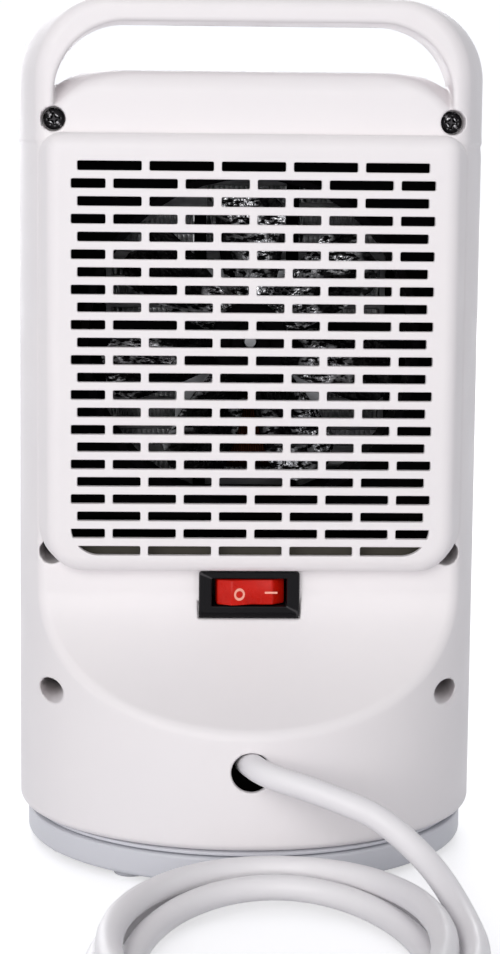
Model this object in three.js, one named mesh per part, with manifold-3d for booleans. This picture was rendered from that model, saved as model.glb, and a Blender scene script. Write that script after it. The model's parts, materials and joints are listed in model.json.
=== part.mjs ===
// Free-standing fan heater with a loop handle, seen in millimetres, +Z up, +Y towards the rear.
// The floor is z = 0 and the turning axis of the housing on its round base is the Z axis.
import * as THREE from "three";
import { mergeVertices } from "three/addons/utils/BufferGeometryUtils.js";
import Module from "manifold-3d";

// Housing
const HALF_WIDTH = 72.1;
const HALF_DEPTH = 68.3;
const BODY_BOTTOM = 11.8;
const DOME_TOP = 243;
const DOME_ROUND = 18.7;
const RIM_ROUND = 2.4;
const WALL = 2.4;
const GAP = 0.3;
const RIM_LEDGE = 10.1;
const OVAL_SIDES = 48;

// Loop handle
const HANDLE_RISE = 21;
const HANDLE_TOP = DOME_TOP + HANDLE_RISE;
const HANDLE_BAR = 8;
const HANDLE_CORNER_R = 24;
const RAIL_INNER_X = 60;
const WINDOW_CORNER_R = 22;
const HANDLE_FRONT_Y = -8;

// Flat back and the scoop below it
const BACK_Y = 31;
const BACK_TOP_ROUND = 8;
const SCOOP_TOP = 84;
const SCOOP_LIP = 47.7;
const SCOOP_POWER = 1.8;

// Rear intake cover
const COVER_STEP = 7.3;
const COVER_FACE_Y = BACK_Y + COVER_STEP;
const COVER_HALF_WIDTH = 61;
const COVER_BOTTOM = 92.5;
const COVER_DROP = 21;
const COVER_TOP = DOME_TOP - COVER_DROP;
const COVER_DRAFT = 3.5;
const COVER_LOW_DRAFT = 1.6;
const COVER_LOW_CORNER_R = 10.5;
const COVER_HIGH_CORNER_R = 3;
const SLOT_ROWS = 23;
const SLOT_MARGIN = 8;
const SLOT_TOP_Z = COVER_TOP - SLOT_MARGIN;
const SLOT_PITCH_Z = 5.29;
const SLOT_HEIGHT = 2.85;
const SLOT_LONG = 19.2;
const SLOT_SHORT = 10.4;
const SLOT_WEB = 2.35;
const FIELD_HALF_WIDTH = 54.6;
const FIELD_CORNER_R = 8.5;

// Case screws: distance from the middle, height, and the depth at which the head sits
const SCREW_PLACES = [
  { name: "top", x: 60.2, z: 227.6, seat: 23 },
  { name: "middle", x: 60.8, z: 96, seat: 6 },
  { name: "low", x: 60.5, z: 53.8, seat: 6 },
];
const WELL_R = 3.75;
const BOSS_WALL = 2;
const SCREW_HEAD_R = 3.3;
const SCREW_HEAD_DEPTH = 2.2;
const SCREW_SHANK_R = 1.5;
const POST_R = 5;
const SCREW_REACH = 12;

// Rocker switch
const SWITCH_Z = 83.1;
const BEZEL_WIDTH = 31;
const BEZEL_HEIGHT = 14.4;
const BEZEL_THICK = 2.2;
const SWITCH_BODY_WIDTH = 26.8;
const SWITCH_BODY_HEIGHT = 11.6;
const SWITCH_DEPTH = 21;
const ROCKER_WIDTH = 22.5;
const ROCKER_HEIGHT = 8.5;
const ROCKER_NOSE = 4.2;
const ROCKER_THROW_DEG = 16;
const ROCKER_PIVOT_Y = 27.5;

// Warm air outlet on the front
const OUTLET_HALF_WIDTH = 46;
const OUTLET_BOTTOM = 100;
const OUTLET_TOP = 220;
const OUTLET_CORNER_R = 6;
const SLAT_PITCH = 7.2;
const SLAT_THICK = 2.4;

// Fan, motor and heating element
const FAN_Z = 160;
const FAN_R = 47;
const HUB_R = 12;
const BLADE_COUNT = 7;
const BLADE_CHORD = 25;
const BLADE_THICK = 1.2;
const BLADE_PITCH_DEG = 30;
const BLADE_MID_Y = 13.5;
const RING_R = 50;
const SHAFT_R = 2;
const CORE_SIDE = 46;
const CORE_LENGTH = 12;
const CORE_FRONT_Y = -17;
const ROTOR_R = 11;
const HEATER_HALF_WIDTH = 50;
const HEATER_HALF_HEIGHT = 56;
const HEATER_FRONT_Y = -42;
const HEATER_DEPTH = 12;
const FIN_PITCH = 8;
const FIN_GAP = 5.4;

// Turning drive
const PLATE_BOTTOM = 14.5;
const PLATE_THICK = 2.4;
const SWING_MOTOR_R = 20;
const SWING_MOTOR_LENGTH = 20;
const GEAR_MODULE = 1;
const PINION_TEETH = 12;
const SECTOR_TEETH = 40;
const TOOTH_BACKLASH = 0.3;
const GEAR_BOTTOM = 7;
const GEAR_TOP = 11.2;
const SWING_DEG = 35;
const PIVOT_R = 12;

// Base
const BASE_R = 69.6;
const BASE_BOTTOM = 2;
const BASE_TOP = 10.1;
const BASE_LOW_ROUND = 1.6;
const BASE_HIGH_ROUND = 0.8;
const DISC_STEP = 1.6;
const DISC_R = BASE_R - DISC_STEP;
const GROOVE_HEIGHT = 0.4;
const GROOVE_DEPTH = 3;
const BASE_WALL = 2.4;
const NECK_STEP = 10;
const NECK_R = DISC_R - NECK_STEP;
const COVER_POST_INSET = 13;
const COVER_RIB_INSET = 6.6;
const FOOT_R = 5.2;
const FOOT_INSET = 8.4;
const FOOT_RING_R = BASE_R - FOOT_INSET;
const FOOT_ANGLES = [36, 66, 114, 144, 216, 246, 294, 324];

// Controls on the top
const PANEL_HALF_WIDTH = 25;
const PANEL_FRONT_Y = -41;
const PANEL_BACK_Y = -17;
const BUTTON_R = 5;
const BUTTON_PITCH = 15.5;
const BUTTON_TRAVEL = 0.8;

// Mains cord
const CORD_D = 7.5;
const CORD_HOLE_PLAY = 2.25;
const CORD_HOLE_R = CORD_D / 2 + CORD_HOLE_PLAY;
const CORD_HOLE_Z = 36;
const STUB_END_Y = 67.6;
const CORD_RISE = 1.7;
const COIL_X = -6;
const COIL_Y = 150;
const COIL_SIDES = 6;
const COIL_STEPS = 24;
const PLUG_START_Y = 250;
const PLUG_X = -62;
const PLUG_HEIGHT = 18.5;
const PLUG_PIN_R = 2.4;
const PLUG_PIN_SPREAD = 9.5;

// The cord's oval turns, one entry per quarter turn from the right-hand side: right, front, left, rear.
// Each holds the distance from the coil's middle and the height of the cord's middle line.
const COIL_QUARTERS = [
  { reach: 51, height: 11.8 },
  { reach: 74, height: 11.8 },
  { reach: 46.3, height: 11.8 },
  { reach: 70.8, height: 13.2 },
  { reach: 42.5, height: 13.2 },
  { reach: 65.4, height: 11.9 },
  { reach: 40.5, height: 3.9 },
  { reach: 61.5, height: 9.8 },
  { reach: 40.8, height: 3.8 },
  { reach: 70.1, height: 3.8 },
  { reach: 49.7, height: 3.8 },
  { reach: 76.6, height: 3.8 },
  { reach: 50.5, height: 3.8 },
];

const wasm = await Module();
wasm.setup();

// ---------- helpers: outlines, solids and booleans ----------

// A closed geometry as a solid whose faces point outwards.
function solid(geometry) {
  const plain = geometry.index ? geometry.toNonIndexed() : geometry;
  const bare = new THREE.BufferGeometry();
  bare.setAttribute("position", plain.getAttribute("position"));
  const merged = mergeVertices(bare, 1e-4);
  const triVerts = new Uint32Array(merged.index.array);
  const vertProperties = new Float32Array(merged.attributes.position.array);
  const made = new wasm.Manifold(new wasm.Mesh({ numProp: 3, vertProperties, triVerts }));
  if (made.volume() > 0) return made;
  for (let i = 0; i < triVerts.length; i += 3) {
    [triVerts[i + 1], triVerts[i + 2]] = [triVerts[i + 2], triVerts[i + 1]];
  }
  return new wasm.Manifold(new wasm.Mesh({ numProp: 3, vertProperties, triVerts }));
}

function geometryOf(made) {
  const mesh = made.getMesh();
  const geometry = new THREE.BufferGeometry();
  geometry.setAttribute("position", new THREE.BufferAttribute(mesh.vertProperties, 3));
  geometry.setIndex(new THREE.BufferAttribute(mesh.triVerts, 1));
  return geometry;
}

function shapeOf(points) {
  return new THREE.Shape(points.map(([a, b]) => new THREE.Vector2(a, b)));
}

// Extrusions of an outline: (x, z) along Y, (y, z) along X, (x, y) along Z.
function alongY(points, y0, y1) {
  const geometry = new THREE.ExtrudeGeometry(shapeOf(points), { depth: y1 - y0, bevelEnabled: false });
  geometry.rotateX(Math.PI / 2);
  geometry.translate(0, y1, 0);
  return solid(geometry);
}

function alongX(points, x0, x1) {
  const geometry = new THREE.ExtrudeGeometry(shapeOf(points), { depth: x1 - x0, bevelEnabled: false });
  const turn = new THREE.Matrix4().makeBasis(
    new THREE.Vector3(0, 1, 0),
    new THREE.Vector3(0, 0, 1),
    new THREE.Vector3(1, 0, 0),
  );
  geometry.applyMatrix4(turn);
  geometry.translate(x0, 0, 0);
  return solid(geometry);
}

function alongZ(points, z0, z1) {
  const geometry = new THREE.ExtrudeGeometry(shapeOf(points), { depth: z1 - z0, bevelEnabled: false });
  geometry.translate(0, 0, z0);
  return solid(geometry);
}

// A profile of (radius, z) turned about the Z axis, then squeezed along Y.
function turned(profile, segments, squeeze = 1) {
  const points = profile.map(([r, z]) => new THREE.Vector2(r, z));
  const geometry = new THREE.LatheGeometry(points, segments);
  geometry.rotateX(Math.PI / 2);
  geometry.scale(1, squeeze, 1);
  return solid(geometry);
}

function block(x0, x1, y0, y1, z0, z1) {
  const geometry = new THREE.BoxGeometry(x1 - x0, y1 - y0, z1 - z0);
  geometry.translate((x0 + x1) / 2, (y0 + y1) / 2, (z0 + z1) / 2);
  return solid(geometry);
}

function rodZ(x, y, radius, z0, z1, segments = 20) {
  const geometry = new THREE.CylinderGeometry(radius, radius, z1 - z0, segments);
  geometry.rotateX(Math.PI / 2);
  geometry.translate(x, y, (z0 + z1) / 2);
  return solid(geometry);
}

function rodY(x, z, radius, y0, y1, segments = 20) {
  const geometry = new THREE.CylinderGeometry(radius, radius, y1 - y0, segments);
  geometry.translate(x, (y0 + y1) / 2, z);
  return solid(geometry);
}

function union(parts) {
  return parts.reduce((sum, part) => sum.add(part));
}

function arc(cx, cy, radius, fromDeg, toDeg, steps) {
  const points = [];
  for (let i = 0; i <= steps; i++) {
    const angle = THREE.MathUtils.degToRad(fromDeg + ((toDeg - fromDeg) * i) / steps);
    points.push([cx + radius * Math.cos(angle), cy + radius * Math.sin(angle)]);
  }
  return points;
}

// A rectangle from (x0, z0) to (x1, z1) with one radius for its low and one for its high corners.
function roundedRect(x0, x1, z0, z1, lowR, highR, steps = 4) {
  return [
    ...arc(x1 - lowR, z0 + lowR, lowR, -90, 0, steps),
    ...arc(x1 - highR, z1 - highR, highR, 0, 90, steps),
    ...arc(x0 + highR, z1 - highR, highR, 90, 180, steps),
    ...arc(x0 + lowR, z0 + lowR, lowR, 180, 270, steps),
  ];
}

// A solid between two outlines in X-Z that have equal numbers of points, at two depths.
function drafted(outlineA, yA, outlineB, yB) {
  const count = outlineA.length;
  const positions = [];
  const put = ([x, z], y) => positions.push(x, y, z);
  const middleOf = (outline) => [
    outline.reduce((sum, p) => sum + p[0], 0) / count,
    outline.reduce((sum, p) => sum + p[1], 0) / count,
  ];
  const middleA = middleOf(outlineA);
  const middleB = middleOf(outlineB);
  for (let i = 0; i < count; i++) {
    const j = (i + 1) % count;
    put(outlineA[i], yA);
    put(outlineB[i], yB);
    put(outlineB[j], yB);
    put(outlineA[i], yA);
    put(outlineB[j], yB);
    put(outlineA[j], yA);
    put(middleA, yA);
    put(outlineA[i], yA);
    put(outlineA[j], yA);
    put(middleB, yB);
    put(outlineB[j], yB);
    put(outlineB[i], yB);
  }
  const geometry = new THREE.BufferGeometry();
  geometry.setAttribute("position", new THREE.Float32BufferAttribute(positions, 3));
  return solid(geometry);
}

// A polyline moved sideways by a distance, to the left of its direction.
function movedAside(points, distance) {
  return points.map((point, i) => {
    const before = points[Math.max(i - 1, 0)];
    const after = points[Math.min(i + 1, points.length - 1)];
    const run = Math.hypot(after[0] - before[0], after[1] - before[1]);
    const nx = -(after[1] - before[1]) / run;
    const ny = (after[0] - before[0]) / run;
    return [point[0] + nx * distance, point[1] + ny * distance];
  });
}

const SQUEEZE = HALF_DEPTH / HALF_WIDTH;
const FAR = 120;

// ---------- housing ----------

// The domed body as a solid of revolution, its skin moved in by the inset.
function domedBody(inset, bottom) {
  const radius = HALF_WIDTH - inset;
  const top = DOME_TOP - inset;
  const round = DOME_ROUND - inset;
  const rim = inset > 0 ? 0.5 : RIM_ROUND;
  const profile = [
    [0, bottom],
    ...arc(radius - rim, bottom + rim, rim, -90, 0, 2),
    ...arc(radius - round, top - round, round, 0, 90, 5),
    [0, top],
  ];
  return turned(profile, OVAL_SIDES, SQUEEZE);
}

// The scoop as (y, z) points from its top on the flat back down and out past the lip.
function scoopCurve() {
  const depth = HALF_DEPTH - BACK_Y;
  const steps = 9;
  const points = [];
  for (let i = 1; i <= steps; i++) {
    const part = (1.09 * i) / steps;
    points.push([BACK_Y + depth * part ** SCOOP_POWER, SCOOP_TOP - (SCOOP_TOP - SCOOP_LIP) * part]);
  }
  return points;
}

// Everything behind the flat back and the scoop, with the skin moved in by the inset.
function behindBack(inset) {
  const top = DOME_TOP - BACK_TOP_ROUND;
  const round = arc(BACK_Y - BACK_TOP_ROUND, top, BACK_TOP_ROUND, 90, 0, 3);
  const skin = [...round, [BACK_Y, SCOOP_TOP], ...scoopCurve()];
  const moved = movedAside(skin, -inset);
  const first = moved[0];
  const last = moved[moved.length - 1];
  const outline = [[first[0], HANDLE_TOP + 20], ...moved, [FAR, last[1]], [FAR, HANDLE_TOP + 20]];
  return alongX(outline, -FAR, FAR);
}

// The loop of the handle as an outline pair, its skin moved in by the inset.
function handleLoop(inset) {
  const half = HALF_WIDTH + 1 - inset;
  const foot = DOME_TOP - DOME_ROUND - 3;
  const top = HANDLE_TOP - inset;
  const outer = [
    [-half, foot],
    [half, foot],
    ...arc(HALF_WIDTH - HANDLE_CORNER_R, HANDLE_TOP - HANDLE_CORNER_R, HANDLE_CORNER_R - inset, 0, 90, 8),
    ...arc(-HALF_WIDTH + HANDLE_CORNER_R, HANDLE_TOP - HANDLE_CORNER_R, HANDLE_CORNER_R - inset, 90, 180, 8),
  ];
  const side = RAIL_INNER_X + inset;
  const round = WINDOW_CORNER_R + inset;
  const centreX = RAIL_INNER_X - WINDOW_CORNER_R;
  const centreZ = HANDLE_TOP - HANDLE_BAR - WINDOW_CORNER_R;
  const window = [
    [-side, foot - 5],
    [side, foot - 5],
    ...arc(centreX, centreZ, round, 0, 90, 7),
    ...arc(-centreX, centreZ, round, 90, 180, 7),
  ];
  const body = alongY(outer, HANDLE_FRONT_Y + inset, BACK_Y - inset);
  const hole = alongY(window, HANDLE_FRONT_Y - 5, BACK_Y + 5);
  const column = turned(
    [
      [0, foot - 20],
      [HALF_WIDTH - inset, foot - 20],
      [HALF_WIDTH - inset, top + 10],
      [0, top + 10],
    ],
    OVAL_SIDES,
    SQUEEZE,
  );
  return body.subtract(hole).intersect(column);
}

// The whole outside of the housing, and the hollow inside it.
function housingOutside() {
  return domedBody(0, BODY_BOTTOM).subtract(behindBack(0)).add(handleLoop(0));
}

function housingHollow() {
  const hollow = domedBody(WALL, BODY_BOTTOM + WALL).subtract(behindBack(WALL));
  const openingR = HALF_WIDTH - RIM_LEDGE;
  const opening = turned(
    [
      [0, BODY_BOTTOM - 5],
      [openingR, BODY_BOTTOM - 5],
      [openingR, BODY_BOTTOM + WALL + 2],
      [0, BODY_BOTTOM + WALL + 2],
    ],
    OVAL_SIDES,
    SQUEEZE,
  );
  return hollow.add(handleLoop(WALL)).add(opening);
}

const outside = housingOutside();
const hollow = housingHollow();
const skin = outside.subtract(hollow);

function rearHalf() {
  return block(-FAR, FAR, GAP / 2, FAR, 0, HANDLE_TOP + 20);
}

function frontHalf() {
  return block(-FAR, FAR, -FAR, -GAP / 2, 0, HANDLE_TOP + 20);
}

// Calls a function for both sides of the housing.
function bothSides(make) {
  return [make(-1, "left"), make(1, "right")];
}

function rearShell() {
  const bosses = SCREW_PLACES.flatMap(({ x, z }) =>
    bothSides((side) => rodY(side * x, z, WELL_R + BOSS_WALL, GAP / 2, FAR, 18)),
  );
  const wells = SCREW_PLACES.flatMap(({ x, z, seat }) =>
    bothSides((side) =>
      rodY(side * x, z, WELL_R, seat, FAR, 20).add(rodY(side * x, z, SCREW_SHANK_R + GAP, -5, FAR, 12)),
    ),
  );
  const pad = block(-19, 19, BACK_Y - 2.6, FAR, SWITCH_Z - 10.5, SWITCH_Z + 10.5);
  const pocket = block(
    -BEZEL_WIDTH / 2 - GAP,
    BEZEL_WIDTH / 2 + GAP,
    BACK_Y,
    FAR,
    SWITCH_Z - BEZEL_HEIGHT / 2 - GAP,
    SWITCH_Z + BEZEL_HEIGHT / 2 + GAP,
  );
  const cutOut = block(
    -SWITCH_BODY_WIDTH / 2 - GAP,
    SWITCH_BODY_WIDTH / 2 + GAP,
    10,
    FAR,
    SWITCH_Z - SWITCH_BODY_HEIGHT / 2 - GAP,
    SWITCH_Z + SWITCH_BODY_HEIGHT / 2 + GAP,
  );
  const intake = alongY(roundedRect(-54, 54, 102, 219, 4, 4), 20, 60);
  const cordHole = rodY(0, CORD_HOLE_Z, CORD_HOLE_R, 40, FAR, 32);
  return union([skin, ...bosses, pad])
    .intersect(outside)
    .subtract(union(wells))
    .subtract(pocket)
    .subtract(cutOut)
    .subtract(intake)
    .subtract(cordHole)
    .intersect(rearHalf());
}

function frontShell() {
  const posts = SCREW_PLACES.flatMap(({ x, z }) =>
    bothSides((side) => rodY(side * x, z, POST_R, -FAR, 0, 16)),
  );
  const bores = SCREW_PLACES.flatMap(({ x, z }) =>
    bothSides((side) => rodY(side * x, z, SCREW_SHANK_R + GAP, -SCREW_REACH, 5, 12)),
  );
  const outlet = alongY(outletOutline(0), -FAR, -20);
  const panel = panelBlock(0, DOME_TOP - 10, DOME_TOP + 5);
  return union([skin, ...posts])
    .intersect(outside)
    .subtract(union(bores))
    .subtract(outlet)
    .subtract(panel)
    .intersect(frontHalf());
}

// The lower closing plate with the pivot sleeve, and the hole for the drive shaft.
function bottomPlate() {
  const edge = HALF_WIDTH - WALL - GAP;
  const disc = turned(
    [
      [0, PLATE_BOTTOM],
      [edge, PLATE_BOTTOM],
      [edge, PLATE_BOTTOM + PLATE_THICK],
      [0, PLATE_BOTTOM + PLATE_THICK],
    ],
    OVAL_SIDES,
    SQUEEZE,
  );
  const sleeve = rodZ(0, 0, PIVOT_R, GEAR_TOP + GAP, PLATE_BOTTOM + 1, 32);
  const saddleTop = CORD_HOLE_Z + CORD_RISE - CORD_D / 2 - GAP;
  const saddle = block(-10, 10, 46, 54, PLATE_BOTTOM + 1, saddleTop);
  const screwBore = rodZ(0, 0, SCREW_SHANK_R + GAP, 0, PLATE_BOTTOM + 8, 16);
  const boss = rodZ(0, 0, 5, PLATE_BOTTOM + 1, PLATE_BOTTOM + 8, 24);
  const shaftHole = rodZ(0, -gearDistance(), 2.5 + GAP, 0, 40, 24);
  return union([disc, sleeve, saddle, boss]).subtract(screwBore).subtract(shaftHole);
}

// ---------- rear intake cover ----------

function coverOutline(inset, grow) {
  return roundedRect(
    -COVER_HALF_WIDTH - grow + inset,
    COVER_HALF_WIDTH + grow - inset,
    COVER_BOTTOM - Math.min(grow, COVER_LOW_DRAFT) + inset,
    COVER_TOP + grow - inset,
    COVER_LOW_CORNER_R + grow - inset,
    COVER_HIGH_CORNER_R + grow - Math.min(inset, 1.5),
  );
}

// Slots in staggered rows: five long ones, or four long ones between two short ones.
function slotBoxes() {
  const boxes = [];
  const pitch = SLOT_LONG + SLOT_WEB;
  for (let row = 0; row < SLOT_ROWS; row++) {
    const z = SLOT_TOP_Z - row * SLOT_PITCH_Z;
    const staggered = row % 2 === 1;
    const count = staggered ? 4 : 5;
    for (let i = 0; i < count; i++) {
      const x = (i - (count - 1) / 2) * pitch;
      boxes.push([x - SLOT_LONG / 2, x + SLOT_LONG / 2, z]);
    }
    if (!staggered) continue;
    const outer = 2 * pitch - SLOT_WEB / 2 + SLOT_WEB;
    boxes.push([outer, outer + SLOT_SHORT, z]);
    boxes.push([-outer - SLOT_SHORT, -outer, z]);
  }
  return boxes;
}

function rearCover() {
  const foot = coverOutline(0, COVER_DRAFT);
  const face = coverOutline(0, 0);
  const innerFoot = coverOutline(WALL, COVER_DRAFT);
  const innerFace = coverOutline(WALL, 0);
  const shell = drafted(foot, BACK_Y + GAP, face, COVER_FACE_Y);
  const inside = drafted(innerFoot, BACK_Y + GAP - 1, innerFace, COVER_FACE_Y - WALL);
  const slots = union(
    slotBoxes().map(([x0, x1, z]) =>
      block(x0, x1, BACK_Y, COVER_FACE_Y + 1, z - SLOT_HEIGHT / 2, z + SLOT_HEIGHT / 2),
    ),
  );
  const fieldBottom = SLOT_TOP_Z - (SLOT_ROWS - 1) * SLOT_PITCH_Z - SLOT_HEIGHT / 2;
  const field = alongY(
    roundedRect(-FIELD_HALF_WIDTH, FIELD_HALF_WIDTH, fieldBottom, SLOT_TOP_Z + 5, FIELD_CORNER_R, 1, 4),
    BACK_Y - 1,
    COVER_FACE_Y + 2,
  );
  return shell.subtract(inside).subtract(slots.intersect(field));
}

// ---------- screws ----------

function caseScrew(x, z, seat) {
  const head = rodY(x, z, SCREW_HEAD_R, seat + GAP, seat + GAP + SCREW_HEAD_DEPTH, 18);
  const shank = rodY(x, z, SCREW_SHANK_R, -SCREW_REACH + 1, seat + GAP + 0.5, 10);
  const top = seat + GAP + SCREW_HEAD_DEPTH;
  const cross = block(x - 2, x + 2, top - 1.2, top + 1, z - 0.4, z + 0.4).add(
    block(x - 0.4, x + 0.4, top - 1.2, top + 1, z - 2, z + 2),
  );
  return head.add(shank).subtract(cross);
}

// ---------- switch ----------

function switchBody() {
  const front = BACK_Y + GAP;
  const bezel = alongY(
    roundedRect(
      -BEZEL_WIDTH / 2,
      BEZEL_WIDTH / 2,
      SWITCH_Z - BEZEL_HEIGHT / 2,
      SWITCH_Z + BEZEL_HEIGHT / 2,
      1,
      1,
      2,
    ),
    front,
    front + BEZEL_THICK,
  );
  const half = SWITCH_BODY_WIDTH / 2;
  const tall = SWITCH_BODY_HEIGHT / 2;
  const body = block(-half, half, front - SWITCH_DEPTH, front + 0.5, SWITCH_Z - tall, SWITCH_Z + tall);
  const tabs = [-8, 0, 8].map((x) =>
    block(x - 2.4, x + 2.4, front - SWITCH_DEPTH - 8, front - SWITCH_DEPTH + 1, SWITCH_Z - 0.4, SWITCH_Z + 0.4),
  );
  const w = ROCKER_WIDTH / 2 + GAP;
  const h = ROCKER_HEIGHT / 2 + GAP;
  const well = block(-w, w, front - SWITCH_DEPTH + 4, front + 5, SWITCH_Z - h, SWITCH_Z + h);
  return union([bezel, body, ...tabs]).subtract(well);
}

// A rocker with a shallow valley between two ridges and a sloping nose at each end, -X end pressed in.
function rocker() {
  const half = ROCKER_WIDTH / 2 - 0.75;
  const front = BACK_Y + GAP + BEZEL_THICK;
  const lean = THREE.MathUtils.degToRad(ROCKER_THROW_DEG / 2);
  const profile = [
    [-half, front - 7],
    [0, front - 10],
    [half, front - 7],
    [half, front - 2.6],
    [half - ROCKER_NOSE, front + 0.3],
    [0, front - 0.7],
    [ROCKER_NOSE - half, front + 0.3],
    [-half, front - 2.6],
  ];
  const geometry = new THREE.ExtrudeGeometry(shapeOf(profile), { depth: ROCKER_HEIGHT - 0.4, bevelEnabled: false });
  geometry.translate(0, -ROCKER_PIVOT_Y, SWITCH_Z - ROCKER_HEIGHT / 2 + 0.2);
  geometry.rotateZ(lean);
  geometry.translate(0, ROCKER_PIVOT_Y, 0);
  return solid(geometry);
}

// ---------- front outlet ----------

function outletOutline(inset) {
  return roundedRect(
    -OUTLET_HALF_WIDTH + inset,
    OUTLET_HALF_WIDTH - inset,
    OUTLET_BOTTOM + inset,
    OUTLET_TOP - inset,
    OUTLET_CORNER_R,
    OUTLET_CORNER_R,
  );
}

// An upright oval tube wall between two insets from the housing's skin.
function ovalWall(insetOut, insetIn, z0, z1) {
  const radiusOut = HALF_WIDTH - insetOut;
  const radiusIn = HALF_WIDTH - insetIn;
  return turned(
    [
      [radiusIn, z0],
      [radiusOut, z0],
      [radiusOut, z1],
      [radiusIn, z1],
      [radiusIn, z0],
    ],
    OVAL_SIDES / 2,
    SQUEEZE,
  );
}

function outletGrille() {
  const z0 = OUTLET_BOTTOM - 10;
  const z1 = OUTLET_TOP + 10;
  const plug = alongY(outletOutline(GAP), -FAR, -20).intersect(ovalWall(0.6, WALL + 2, z0, z1));
  const flange = alongY(outletOutline(-4), -FAR, -20).intersect(ovalWall(WALL + GAP, WALL + 2, z0, z1));
  const slots = [];
  const inner = OUTLET_HALF_WIDTH - 5;
  const count = Math.floor((OUTLET_TOP - OUTLET_BOTTOM - 12) / SLAT_PITCH);
  const lowest = (OUTLET_TOP + OUTLET_BOTTOM - (count - 1) * SLAT_PITCH) / 2;
  for (let i = 0; i < count; i++) {
    const z = lowest + i * SLAT_PITCH;
    const tall = (SLAT_PITCH - SLAT_THICK) / 2;
    for (const [x0, x1] of [[-inner, -1.2], [1.2, inner]]) {
      slots.push(block(x0, x1, -FAR, -20, z - tall, z + tall));
    }
  }
  return plug.add(flange).subtract(union(slots));
}

// ---------- controls on the top ----------

function panelBlock(inset, z0, z1) {
  return alongZ(
    roundedRect(
      -PANEL_HALF_WIDTH + inset,
      PANEL_HALF_WIDTH - inset,
      PANEL_FRONT_Y + inset,
      PANEL_BACK_Y - inset,
      5,
      5,
      3,
    ),
    z0,
    z1,
  );
}

function buttonPlace(index) {
  return [(index - 1) * BUTTON_PITCH, (PANEL_FRONT_Y + PANEL_BACK_Y) / 2];
}

function controlPanel() {
  const plate = panelBlock(GAP, DOME_TOP - WALL, DOME_TOP - 0.4);
  const flange = panelBlock(-2.5, DOME_TOP - WALL - GAP - 1.6, DOME_TOP - WALL - GAP);
  const neck = panelBlock(GAP, DOME_TOP - WALL - GAP - 0.5, DOME_TOP - WALL + 0.1);
  const posts = [-1, 1].flatMap((side) => [
    rodZ(side * 22, PANEL_FRONT_Y + 4, 2, DOME_TOP - 12, DOME_TOP - 3, 16),
    rodZ(side * 22, PANEL_BACK_Y - 4, 2, DOME_TOP - 12, DOME_TOP - 3, 16),
  ]);
  const holes = [0, 1, 2].map((i) => rodZ(...buttonPlace(i), BUTTON_R + GAP, DOME_TOP - 20, DOME_TOP + 5));
  return union([plate, flange, neck, ...posts]).subtract(union(holes));
}

function button(index) {
  const [x, y] = buttonPlace(index);
  const profile = [
    [0, DOME_TOP - 7],
    [BUTTON_R + 1.2, DOME_TOP - 7],
    [BUTTON_R + 1.2, DOME_TOP - 5.2],
    [BUTTON_R, DOME_TOP - 5.2],
    [BUTTON_R, DOME_TOP + 0.4],
    [BUTTON_R - 0.6, DOME_TOP + 1],
    [0, DOME_TOP + 0.7],
  ];
  return turned(profile, 24).translate([x, y, 0]);
}

// The board under the buttons, with a key switch under each of them.
function controlBoard() {
  const top = DOME_TOP - 12 - GAP;
  const board = block(-PANEL_HALF_WIDTH, PANEL_HALF_WIDTH, PANEL_FRONT_Y, PANEL_BACK_Y, top - 1.6, top);
  const keys = [0, 1, 2].map((i) => {
    const [x, y] = buttonPlace(i);
    const body = block(x - 3, x + 3, y - 3, y + 3, top - 0.1, top + 3.2);
    return body.add(rodZ(x, y, 1.6, top + 3, DOME_TOP - 7 - BUTTON_TRAVEL - GAP, 16));
  });
  return union([board, ...keys]);
}

// ---------- fan, motor and heating element ----------

// The partition that carries the fan ring and the two arms under the motor.
function fanShroud() {
  const inner = turned(
    [
      [0, 0],
      [HALF_WIDTH - WALL - GAP, 0],
      [HALF_WIDTH - WALL - GAP, DOME_TOP],
      [0, DOME_TOP],
    ],
    OVAL_SIDES,
    SQUEEZE,
  );
  const plate = block(-FAR, FAR, 4, 6.4, 103, 220);
  const ring = rodY(0, FAN_Z, RING_R + 2.4, 4, 22, 40);
  const bore = rodY(0, FAN_Z, RING_R, 0, 30, 40);
  const arms = block(-FAR, FAR, -1.6, 4.4, FAN_Z - 5, FAN_Z + 5);
  const seat = rodY(0, FAN_Z, 15, -1.6, 1.6, 32);
  const shaftHole = rodY(0, FAN_Z, SHAFT_R + GAP, -10, 10, 20);
  const carrier = arms.add(seat).intersect(inner);
  const reliefs = [-1, 1].map((side) => block(side * 32 - 17, side * 32 + 17, 1.4, 5, FAN_Z - 6, FAN_Z + 6));
  const opened = carrier.subtract(union(reliefs)).subtract(block(-20, 20, 1.6, 5, FAN_Z - 6, FAN_Z + 6));
  return plate.add(ring).subtract(bore).intersect(inner).add(opened).subtract(shaftHole);
}

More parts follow.
